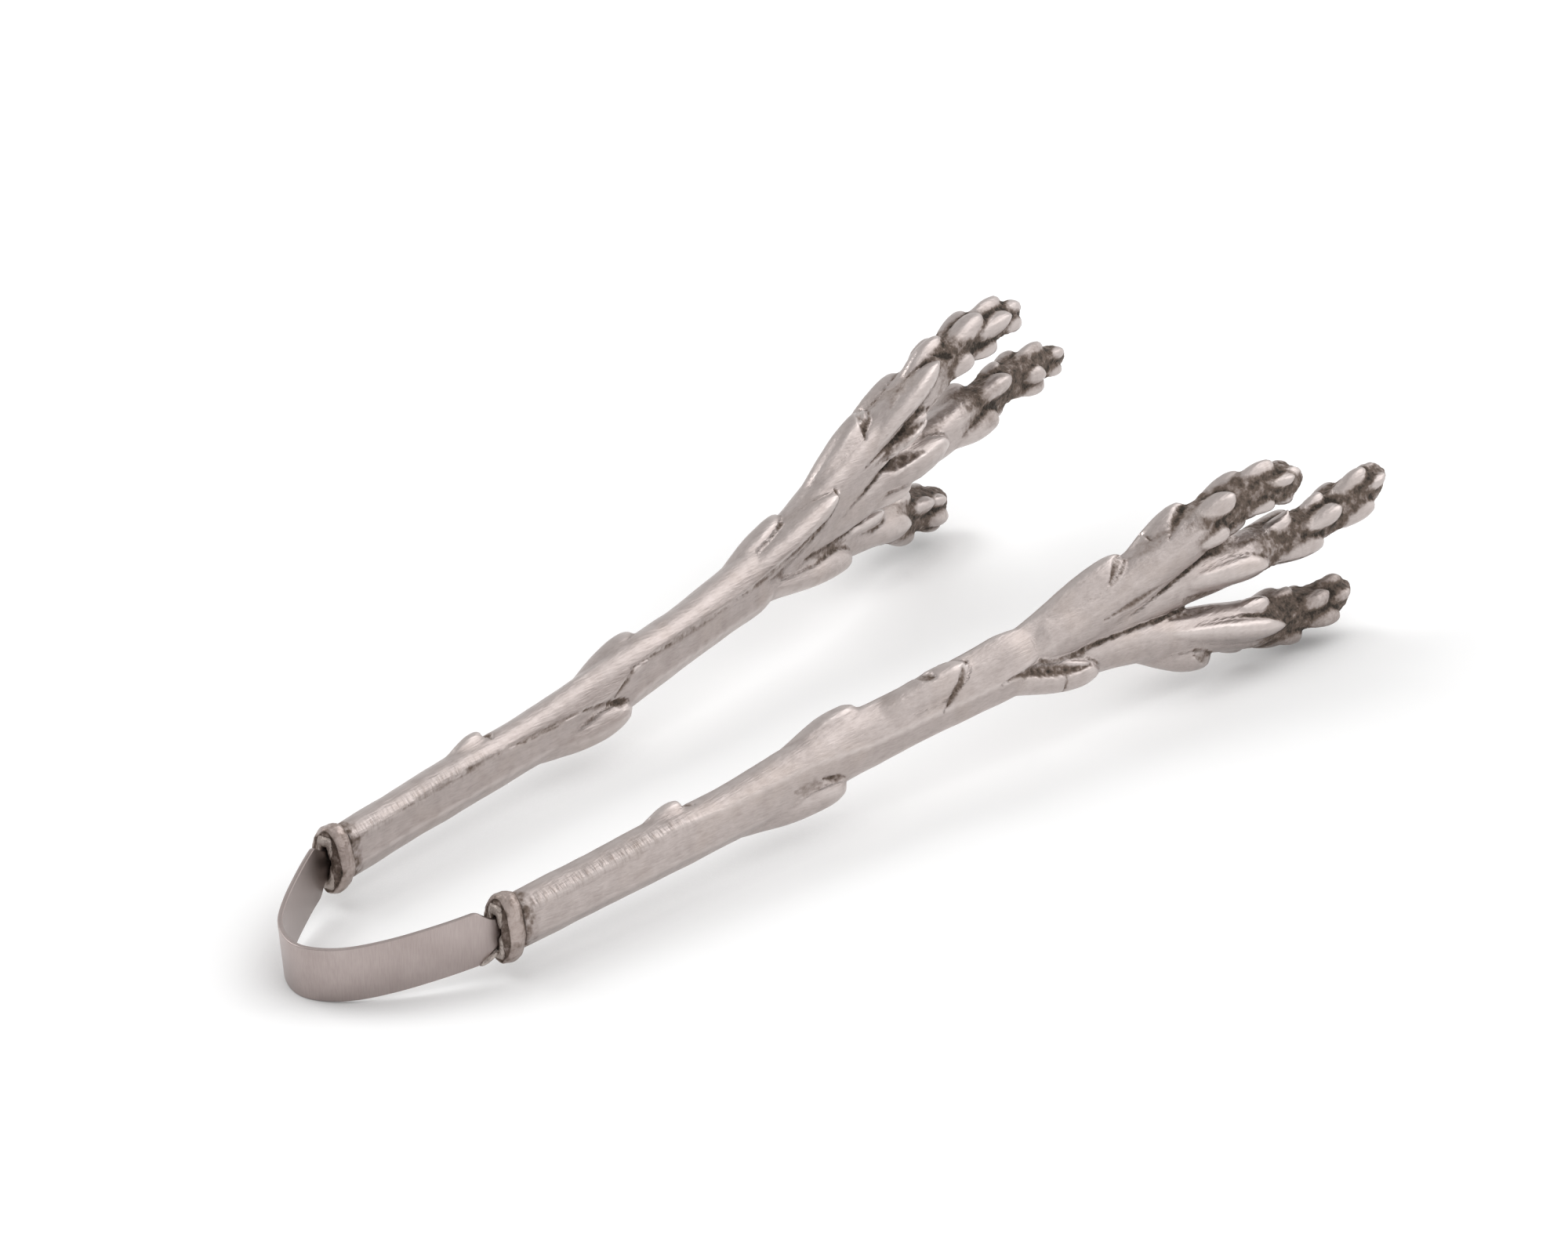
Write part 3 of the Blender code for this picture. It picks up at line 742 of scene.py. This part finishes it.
def round_tips(limbs, points):
    """Draw the last millimetres of each spear in towards its axis, scales and all."""
    for name in SPEAR_NAMES:
        limb = limbs[name]
        end = limb.rows[-1, 0]
        near = np.flatnonzero(points[:, 0] > end - 2.0 * TIP_LENGTH)
        lift, x, _ = limb.lift_of(points[near])
        own = (lift < TIP_REACH) & (x > end - TIP_LENGTH)
        near, x = near[own], x[own]
        centre = limb.sample(x)[0]
        share = np.clip((x - end) / TIP_LENGTH + 1.0, 0.0, 1.0)
        kept = np.sqrt(1.0 - TIP_ROUNDING * share ** 2)[:, None]
        points[near] = centre + (points[near] - centre) * kept


def store(mesh, **masks):
    """Keep one value of each mask for every point, for the materials to read."""
    for name, values in masks.items():
        attribute = mesh.attributes.new(name, "FLOAT", "POINT")
        attribute.data.foreach_set("value", values.astype(np.float32))


def head_cover(side, limbs, points):
    """Where the heads' rough core shows, and how brown each head is."""
    grain, veil = np.zeros((2, len(points)))
    for spear, start in HEAD_START[side].items():
        lift, x, _ = limbs[spear].lift_of(points)
        core = smooth_step(-lift, *CORE_DEPTHS) * (lift > CORE_LIMIT)
        grain = np.maximum(grain, core * smooth_step(x, start - 6.0, start + 6.0))
        cover = (np.abs(lift) < HEAD_SKIN) * smooth_step(x, start - 4.0, start + 8.0)
        veil = np.maximum(veil, HEAD_VEIL[side][spear] * cover)
    return grain, veil


def stalk_wear(side, stalk, points):
    """Places along x, the stalk's bare skin, its chatter ticks and its brown creases."""
    lift, x, angle = stalk.lift_of(points)
    skin = np.abs(lift) < SKIN
    off_crease = np.abs(np.degrees(angle)) - crease_angle(x, side)
    off_chatter = (off_crease + CHATTER_SHIFT) / CHATTER_WIDTH
    chatter = np.exp(-off_chatter ** 2) * smooth_step(-x, -CHATTER_END, -CHATTER_FADE) * skin
    streaks = smooth_step(noise_field(points * (0.15, 1.0, 1.0) + 9.0, 1.1, 2), -0.35, 0.25)
    creased = np.exp(-(off_crease / CREASE_WIDTH) ** 2) * streaks * smooth_step(-x, *CREASE_FADE) * skin
    return x, skin, chatter, creased


def finish_arm(side, material):
    """Shape one casting, roughen its recesses and note where the patina lies."""
    limbs = arm_limbs(side)
    mesh = remeshed(arm_soup(side, limbs).mesh(side + "_arm_shapes"), side + "_arm_shapes")
    points, normals, edges = mesh_arrays(mesh)
    round_tips(limbs, points)

    fine = ((relaxed(points, edges, FINE_PASSES) - points) * normals).sum(axis=1)
    broad = ((relaxed(points, edges, BROAD_PASSES) - points) * normals).sum(axis=1)
    recess = smooth_step(fine, *FINE_HOLLOW) * 0.7 + smooth_step(broad, *BROAD_HOLLOW) * 0.6
    grain, veil = head_cover(side, limbs, points)
    x, skin, chatter, creased = stalk_wear(side, limbs["stalk"], points)

    pits = noise_field(points, PIT_SIZE, 4)
    waves = noise_field(points + 40.0, WAVE_SIZE, 2)
    rough = np.clip(recess + 0.7 * grain, 0.0, 1.0)
    points += normals * (WAVE_DEPTH * waves + PIT_DEPTH * pits * rough)[:, None]
    marked = carve_marks(side, points, normals)
    crust = smooth_step(noise_field(points + 5.0, 1.5, 3), -0.40, 0.35)
    end_wear = smooth_step(-x, *END_BROWN) * skin * (0.45 + 0.5 * pits)
    aged = 0.45 + 0.55 * smooth_step(x, *AGED)
    patina = recess * aged * (0.6 + 0.5 * crust) + grain * (0.30 + 0.42 * crust) + 0.25 * pits * rough
    patina = patina + veil + marked + 0.5 * creased + np.clip(end_wear, 0.0, 1.0)

    mesh.vertices.foreach_set("co", to_frame(points, SIDES[side]).ravel())
    if SIDES[side] < 0:
        mesh.flip_normals()
    # Ridges that the material lightens in colour: partly wear, partly painted highlight.
    worn = smooth_step(-fine, *WORN_RIDGE_AND_HIGHLIGHT) * smooth_step(x, *END_CLEAN)
    store(mesh, patina=np.clip(patina, 0.0, MOST_PATINA), grain=rough, chatter=chatter,
          worn=worn * (1.0 - HEAD_DULLING * veil))
    piece = add_piece(side + "_asparagus", mesh, material, [side + "_arm"])
    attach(piece, side + "_arm")


# ---------------------------------------------------------------- collars and solder

COLLAR_CENTRE = np.array([25.6, 18.4, 7.9])
COLLAR_HALF_HEIGHT = 6.0
COLLAR_HALF_DEPTH = 3.7
STALK_YAW = math.radians(4.3)
STALK_PITCH = math.radians(2.7)
SLOT_HEIGHT = 7.0
SLOT_DEPTH = 1.4
SLOT_POWER = 7.0  # a higher power gives sharper corners
SOLDER_BACK = 5.4
# Collar profile: offset along the stalk, share of the full oval (1) or of the slot (0), patina.
COLLAR_PROFILE = (
    (1.9, 0.0, 1.0),
    (1.9, 0.45, 1.0),
    (1.9, 0.72, 1.0),
    (1.75, 0.81, 0.7),
    (1.35, 0.91, 0.3),
    (0.8, 0.98, 0.08),
    (0.3, 1.0, 0.0),
    (-0.2, 0.99, 0.0),
    (-0.7, 0.95, 0.0),
    (-1.1, 0.88, 0.05),
    (-1.3, 0.79, 0.25),
    (-1.15, 0.70, 0.75),
    (-1.35, 0.55, 0.5),
    (-1.55, 0.3, 0.5),
    (-1.4, 0.08, 0.7),
    (-0.9, 0.0, 1.1),
)
COLLAR_POINTS = 96
COLLAR_SEED = {"left": 37.0, "right": 11.0}
COLLAR_UNEVEN = 0.05  # share by which the filed bead's section wanders
COLLAR_SKEW = 0.35  # and how far it wanders along the stalk
COLLAR_PITS = 0.10


def stalk_frame():
    forward = unit(np.array([math.cos(STALK_YAW), math.sin(STALK_YAW), math.tan(STALK_PITCH)]))
    up = unit(UP - forward * forward[2])
    return forward, up, np.cross(up, forward)


def axis_points(offset, across, height):
    """Points given along the stalk's end line, outward and up."""
    forward, up, outward = stalk_frame()
    return (COLLAR_CENTRE + np.multiply.outer(offset, forward)
            + np.multiply.outer(across, outward) + np.multiply.outer(height, up))


def slot_outline(angles, height, depth):
    """A rectangle with round corners, as across and up at each angle from the top."""
    across, up = np.sin(angles), np.cos(angles)
    radius = (np.abs(up / (height / 2)) ** SLOT_POWER
              + np.abs(across / (depth / 2)) ** SLOT_POWER) ** (-1 / SLOT_POWER)
    return across * radius, up * radius


def make_collar(side, material):
    """The uneven hand-filed bead that caps the stalk, its face split by the tang's slot."""
    angles = full_turn(COLLAR_POINTS)
    slot_across, slot_up = slot_outline(angles, SLOT_HEIGHT, SLOT_DEPTH)
    wobble = np.array([
        noise.noise(Vector((math.cos(angle) * 1.6, math.sin(angle) * 1.6, COLLAR_SEED[side])))
        for angle in angles
    ])
    soup = Soup()
    rings = []
    patina = []
    for offset, share, dark in smooth_rows(COLLAR_PROFILE, 4):
        share = min(max(share, 0.0), 1.0)
        uneven = 1.0 + COLLAR_UNEVEN * wobble * share
        across = slot_across + (COLLAR_HALF_DEPTH * np.sin(angles) * uneven - slot_across) * share
        height = slot_up + (COLLAR_HALF_HEIGHT * np.cos(angles) * uneven - slot_up) * share
        rings.append(axis_points(offset + COLLAR_SKEW * wobble * share, across, height))
        patina.append(np.full(len(angles), max(dark, 0.0)))
    soup.add_loft(rings, caps=False)
    points = np.array(soup.points)
    rough = noise_field(points, 1.1, 3)
    points += unit(points - COLLAR_CENTRE) * (COLLAR_PITS * rough)[:, None]
    soup.points = to_frame(points, SIDES[side]).tolist()
    mesh = soup.mesh(side + "_collar_bead")
    patina = np.concatenate(patina)
    store(mesh, patina=np.clip(patina + 0.12 + 0.45 * rough, 0.0, 1.3),
          grain=np.clip(patina + 0.2, 0.0, 1.0), chatter=np.full(len(points), 0.3))
    piece = add_piece(side + "_collar_bead", mesh, material, [side + "_collar"])
    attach(piece, side + "_arm")


BEAD_ENDS = ((20.9, 17.6, 2.9), (24.3, 18.5, 4.9))
BEAD_HALF_HEIGHT = 0.5
BEAD_HALF_DEPTH = 0.85
BEAD_POINTS = 20
BEAD_PATINA = 0.1
SOLDER_DOME = 1.1  # how far the lump falls back towards its sides
SOLDER_PITS = 0.22
SOLDER_FRONT = (1.1, 1.5)  # the pits start this far in front of the collar's centre
# Solder profile: offset along the stalk, height, depth, patina.
SOLDER_PROFILE = (
    (SOLDER_BACK, 6.4, 1.35, 0.6),
    (-0.6, 6.4, 1.35, 0.9),
    (-1.1, 8.8, 2.4, 0.5),
    (-1.5, 9.3, 2.9, 0.25),
    (-1.9, 8.8, 2.7, 0.15),
    (-2.05, 7.6, 2.1, 0.2),
    (-2.0, 6.4, 1.5, 0.5),
    (-1.7, 5.8, 1.1, 1.0),
    (-1.2, 5.4, 1.0, 1.0),
    (SOLDER_BACK, 5.4, 1.0, 1.0),
)


def bead_rings():
    """The small bead of solder in the right strip's lower scoop."""
    start, end = (np.array(point) for point in BEAD_ENDS)
    along = unit(end - start)
    outside = unit(np.cross(along, UP))
    across = np.cross(outside, along)
    around = full_turn(BEAD_POINTS)
    rings = []
    for share in np.linspace(0.01, 0.99, BEAD_POINTS):
        size = math.sqrt(1.0 - (2 * share - 1.0) ** 2)
        rings.append(start + (end - start) * share
                     + np.multiply.outer(np.cos(around) * size * BEAD_HALF_HEIGHT, across)
                     + np.multiply.outer(np.sin(around) * size * BEAD_HALF_DEPTH, outside))
    return rings


def make_solder(side, material):
    """Solder round the tang: a domed lump over the collar's slot and a sleeve into the stalk."""
    angles = full_turn(COLLAR_POINTS)
    soup = Soup()
    rings = []
    patina = []
    for offset, height, depth, dark in SOLDER_PROFILE:
        across, up = slot_outline(angles, height, depth)
        sunk = SOLDER_DOME * np.sin(angles) ** 2 * (offset < 0)
        rings.append(axis_points(offset + sunk, across, up))
        patina.append(np.full(len(angles), dark))
    soup.add_loft(rings, caps=False)
    points = np.array(soup.points)
    rough = noise_field(points, 0.9, 3)
    forward = stalk_frame()[0]
    front = smooth_step(-(points - COLLAR_CENTRE) @ forward, *SOLDER_FRONT)
    points -= np.multiply.outer(SOLDER_PITS * rough * front, forward)
    soup.points = points.tolist()
    shades = np.clip(np.concatenate(patina) + 0.2 * rough, 0.0, 1.0)
    if side == "right":
        soup.add_loft(bead_rings(), caps=True)
        shades = np.append(shades, np.full(len(soup.points) - len(points), BEAD_PATINA))
    soup.points = to_frame(soup.points, SIDES[side]).tolist()
    mesh = soup.mesh(side + "_solder_lump")
    store(mesh, patina=shades, grain=np.full(len(shades), 0.8), chatter=np.zeros(len(shades)))
    piece = add_piece(side + "_solder_lump", mesh, material, [side + "_solder"])
    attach(piece, side + "_arm")


# ---------------------------------------------------------------- spring strip

def strip_half_width(x):
    """Half the strip's width: full along the bow, scooped in to the tang at each end."""
    t = np.clip((x - SCOOP_START) / (SCOOP_END - SCOOP_START), 0.0, 1.0)
    rest = 1 - SCOOP_CORNER
    scoop = np.where(t < SCOOP_CORNER, t * t / SCOOP_CORNER,
                     SCOOP_CORNER + rest * np.sin((t - SCOOP_CORNER) / rest * math.pi / 2))
    return STRIP_WIDTH / 2 - scoop * (STRIP_WIDTH - TANG_WIDTH) / 2


def strip_section():
    """Points round the bar: their edge, how far past its flat they lie, and how far through."""
    flat = STRIP_THICKNESS / 2 - EDGE_ROUNDING
    section = []
    for sign_w, sign_t, start in ((1, 1, 0), (-1, 1, 90), (-1, -1, 180), (1, -1, 270)):
        for step in range(EDGE_POINTS + 1):
            angle = math.radians(start + 90.0 * step / EDGE_POINTS)
            section.append((sign_w, EDGE_ROUNDING * math.cos(angle),
                            sign_t * flat + EDGE_ROUNDING * math.sin(angle)))
    return section


def make_strip_half(side, material):
    """One leg of the strip, from the middle of the bow to the end of its tang."""
    mirrored = np.array(STRIP_PATH[1]) * (1, -1, 1)
    path = smooth_rows([mirrored, *STRIP_PATH], STRIP_STEPS)[STRIP_STEPS:]
    lean = np.array([-math.sin(STRIP_TILT), 0.0, math.cos(STRIP_TILT)])
    forward = unit(np.gradient(path, axis=0))
    forward[0] = (0.0, 1.0, 0.0)
    rings = []
    for middle, direction in zip(path, forward):
        across = unit(lean - direction * direction.dot(lean))
        outside = np.cross(across, direction)
        half = strip_half_width(middle[0]) - EDGE_ROUNDING
        rings.append([middle + lean * (sign * half + width) + outside * thick
                      for sign, width, thick in strip_section()])
    soup = Soup()
    soup.add_loft(rings)
    inner = np.array([thick < 0 for _, _, thick in strip_section()])
    # The inner face is darkened, more towards the tang; this is stored as its patina.
    stain = np.multiply.outer(smooth_step(path[:, 0], *STRIP_INNER_DARKENING_REACH), inner).ravel()
    soup.points = to_frame(soup.points, SIDES[side]).tolist()
    mesh = soup.mesh(side + "_strip_leg")
    store(mesh, patina=stain)
    piece = add_piece(side + "_strip_leg", mesh, material, ["spring_strip"])
    mesh.set_sharp_from_angle(angle=STRIP_SHARP_ANGLE)
    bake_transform(piece)


# ---------------------------------------------------------------- materials

class Nodes:
    """A Principled material under construction."""

    def __init__(self, name):
        self.material = bpy.data.materials.new(name)
        self.material.use_nodes = True
        self.tree = self.material.node_tree
        self.shader = self.tree.nodes["Principled BSDF"]
        self.place = self.add("TexCoord").outputs["Object"]

    def add(self, kind, **settings):
        node = self.tree.nodes.new("ShaderNode" + kind)
        for name, value in settings.items():
            setattr(node, name, value)
        return node

    def fill(self, socket, value):
        """Link a socket to another node's output, or store a plain value in it."""
        if isinstance(value, bpy.types.NodeSocket):
            self.tree.links.new(value, socket)
        else:
            socket.default_value = value

    def shade(self, **looks):
        """Fill the shader's inputs; their names are written with _ for a space."""
        for name, value in looks.items():
            self.fill(self.shader.inputs[name.replace("_", " ")], value)

    def attribute(self, name):
        return self.add("Attribute", attribute_name=name).outputs["Fac"]

    def noise(self, size_mm, detail=3.0, stretch=(1.0, 1.0, 1.0), turn=0.0):
        mapping = self.add("Mapping")
        mapping.inputs["Scale"].default_value = stretch
        mapping.inputs["Rotation"].default_value = (0.0, turn, 0.0)
        self.fill(mapping.inputs["Vector"], self.place)
        texture = self.add("TexNoise")
        texture.inputs["Scale"].default_value = 1.0 / (size_mm * MM)
        texture.inputs["Detail"].default_value = detail
        self.fill(texture.inputs["Vector"], mapping.outputs["Vector"])
        return texture.outputs["Fac"]

    def math(self, operation, first, second=0.0, third=0.0):
        node = self.add("Math", operation=operation)
        for socket, value in zip(node.inputs, (first, second, third)):
            self.fill(socket, value)
        return node.outputs[0]

    def ramp(self, value, low, high, to_low=0.0, to_high=1.0):
        node = self.add("MapRange")
        names = ("From Min", "From Max", "To Min", "To Max")
        for name, amount in zip(names, (low, high, to_low, to_high)):
            node.inputs[name].default_value = amount
        self.fill(node.inputs["Value"], value)
        return node.outputs["Result"]

    def mix(self, factor, first, second):
        node = self.add("Mix", data_type="RGBA")
        self.fill(node.inputs["Factor"], factor)
        for socket, value in ((node.inputs[6], first), (node.inputs[7], second)):
            self.fill(socket, (*value, 1.0) if isinstance(value, tuple) else value)
        return node.outputs[2]

    def bump(self, height, distance_mm, strength=1.0, before=None):
        node = self.add("Bump")
        node.inputs["Strength"].default_value = strength
        node.inputs["Distance"].default_value = distance_mm * MM
        self.fill(node.inputs["Height"], height)
        if before is not None:
            self.fill(node.inputs["Normal"], before)
        return node.outputs["Normal"]


def pewter_material(name, bright, dull, roughness):
    """Satin pewter: hand-filed and worn bright, with brown patina left in its recesses; its ridges get a
    lighter colour that is partly wear and partly painted highlight.
    """
    nodes = Nodes(name)
    patina = nodes.attribute("patina")
    grain = nodes.attribute("grain")
    chatter = nodes.attribute("chatter")
    ridge_wear_and_highlight = nodes.attribute("worn")
    blotches = nodes.noise(2.4, 5.0)
    clouds = nodes.noise(9.0, 3.0)
    specks = nodes.noise(0.5, 4.0)
    lumps = nodes.noise(0.9, 3.0)
    file_marks = nodes.noise(0.42, 2.0, stretch=(0.16, 1.0, 1.0), turn=0.8)
    cross_marks = nodes.noise(0.42, 2.0, stretch=(0.16, 1.0, 1.0), turn=-0.5)
    ticks = nodes.noise(0.6, 2.0, stretch=(1.0, 0.22, 0.22), turn=0.25)

    mottle = nodes.ramp(nodes.math("ADD", specks, lumps), 0.7, 1.3, 0.62, 1.22)
    laid = nodes.math("MULTIPLY", nodes.math("MULTIPLY_ADD", ridge_wear_and_highlight, -0.5, patina), mottle)
    spread = nodes.math("MULTIPLY_ADD", blotches, 0.45, laid)
    spread = nodes.math("MULTIPLY_ADD", clouds, 0.15, spread)
    stain = nodes.ramp(spread, 0.42, 0.95)
    deep = nodes.ramp(spread, 0.95, 1.6)
    scratched = nodes.ramp(nodes.math("MAXIMUM", file_marks, cross_marks), 0.54, 0.70)
    ticked = nodes.math("MULTIPLY", nodes.ramp(ticks, 0.52, 0.66), chatter)
    worn = nodes.ramp(nodes.math("ADD", blotches, nodes.math("ADD", file_marks, cross_marks)), 1.1, 1.9)
    metal = nodes.mix(worn, dull, bright)
    metal = nodes.mix(nodes.ramp(clouds, 0.5, 0.72, 0.0, 0.35), metal, WARM_TINT)
    metal = nodes.mix(nodes.math("MULTIPLY", scratched, 0.2), metal, BROWN)
    metal = nodes.mix(nodes.math("MULTIPLY", ticked, 0.55), metal, BROWN)
    # Ridges are mixed towards a lighter metal: partly wear, partly painted highlight.
    metal = nodes.mix(nodes.math("MULTIPLY", ridge_wear_and_highlight, 0.7), metal, WORN_EDGE_AND_HIGHLIGHT)
    old = nodes.mix(deep, BROWN, BLACK)
    rough = nodes.math("MULTIPLY_ADD", specks, 0.16, nodes.ramp(stain, 0.0, 1.0, roughness - 0.08, 0.62))
    rough = nodes.math("MULTIPLY_ADD", ridge_wear_and_highlight, -0.10, rough)

    hatch = nodes.bump(nodes.math("ADD", file_marks, cross_marks), 0.10, 0.55)
    tick_bump = nodes.bump(nodes.math("MULTIPLY", ticks, chatter), 0.35, 0.8, hatch)
    pitted = nodes.math("MULTIPLY", nodes.math("ADD", specks, lumps), grain)
    nodes.shade(Base_Color=nodes.mix(stain, metal, old),
                Metallic=nodes.ramp(stain, 0.0, 1.0, 1.0, 0.6),
                Roughness=rough,
                Normal=nodes.bump(pitted, 0.45, 0.85, tick_bump))
    return nodes.material


def steel_material():
    """Rolled strip steel with a fine brushing across its width."""
    nodes = Nodes("satin_strip_steel")
    brushing = nodes.noise(0.16, 2.0, stretch=(1.0, 1.0, 0.06))
    clouds = nodes.noise(6.0, 3.0)
    tone = nodes.ramp(nodes.math("ADD", brushing, clouds), 0.7, 1.3)
    steel = nodes.mix(tone, STEEL_DARK, STEEL_LIGHT)
    # The strip's inner face is darkened, more towards the tang.
    inner_darkening = nodes.math("MULTIPLY", nodes.attribute("patina"), nodes.ramp(clouds, 0.3, 0.7, 0.35, 0.7))
    nodes.shade(Base_Color=nodes.mix(inner_darkening, steel, STEEL_INNER_DARK),
                Metallic=1.0,
                Roughness=nodes.ramp(brushing, 0.3, 0.7, 0.30, 0.40),
                Normal=nodes.bump(brushing, 0.01, 0.3))
    return nodes.material


def floor_material():
    """White paper with a painted contact shadow: its colour darkens where the tongs come near it."""
    nodes = Nodes("pale_floor")
    # Painted contact shadow: an occlusion node darkens the floor's colour near the tongs.
    near = nodes.add("AmbientOcclusion", samples=5)
    near.inputs["Distance"].default_value = PAINTED_SHADOW_REACH
    shade = nodes.ramp(near.outputs["AO"], *PAINTED_SHADOW_RANGE)
    nodes.shade(Base_Color=nodes.mix(shade, PAINTED_CONTACT_SHADOW_TONE, FLOOR_TONE),
                Roughness=0.9,
                Emission_Color=(1.0, 1.0, 1.0, 1.0),
                Emission_Strength=FLOOR_GLOW,
                Specular_IOR_Level=0.1)
    return nodes.material


# ---------------------------------------------------------------- setting

def aim(thing, place, target):
    thing.location = place
    thing.rotation_euler = (Vector(target) - Vector(place)).to_track_quat("-Z", "Y").to_euler()


def make_camera():
    flat = math.cos(CAMERA_ELEVATION)
    back = Vector((-math.sin(CAMERA_AZIMUTH) * flat,
                   -math.cos(CAMERA_AZIMUTH) * flat,
                   math.sin(CAMERA_ELEVATION)))
    camera = add_object("camera", bpy.data.cameras.new("camera"))
    camera.data.lens = CAMERA_LENS
    camera.data.sensor_width = SENSOR_WIDTH
    camera.data.clip_start = 0.01
    target = Vector(CAMERA_TARGET)
    aim(camera, target + back * CAMERA_DISTANCE, target)
    bpy.context.scene.camera = camera


def make_light(name, place, size, power):
    light = bpy.data.lights.new(name, "AREA")
    light.shape = "RECTANGLE"
    light.size, light.size_y = size
    light.energy = power
    aim(add_object(name, light), place, (0.0, 0.0, 0.0))


def make_world():
    """A white room that is a little dimmer overhead and to the left."""
    world = bpy.data.worlds.new("studio")
    world.use_nodes = True
    tree = world.node_tree
    direction = tree.nodes.new("ShaderNodeTexCoord").outputs["Generated"]
    facing = tree.nodes.new("ShaderNodeVectorMath")
    facing.operation = "DOT_PRODUCT"
    facing.inputs[1].default_value = ROOM_BRIGHT_SIDE
    tree.links.new(direction, facing.inputs[0])
    level = tree.nodes.new("ShaderNodeMapRange")
    level.inputs["From Min"].default_value = -1.0
    for name, value in (("To Min", ROOM_DIM), ("To Max", ROOM_BRIGHT)):
        level.inputs[name].default_value = value
    tree.links.new(facing.outputs["Value"], level.inputs["Value"])
    tree.links.new(level.outputs["Result"], tree.nodes["Background"].inputs["Strength"])
    tree.nodes["Background"].inputs["Color"].default_value = (1.0, 1.0, 1.0, 1.0)
    bpy.context.scene.world = world


def make_setting():
    bpy.ops.mesh.primitive_plane_add(size=2 * FLOOR_HALF_SIZE)
    floor = bpy.context.object
    floor.name = "floor"
    floor.data.materials.append(floor_material())
    for lamp in LIGHTS:
        make_light(*lamp)
    make_world()
    bpy.context.scene.view_settings.view_transform = "Standard"


make_camera()
make_setting()
PEWTER = pewter_material(*PEWTER_LOOK)
COLLAR_PEWTER = pewter_material(*COLLAR_LOOK)
SOLDER = pewter_material(*SOLDER_LOOK)
STEEL = steel_material()
for arm_side in SIDES:
    finish_arm(arm_side, PEWTER)
    make_collar(arm_side, COLLAR_PEWTER)
    make_solder(arm_side, SOLDER)
    make_strip_half(arm_side, STEEL)
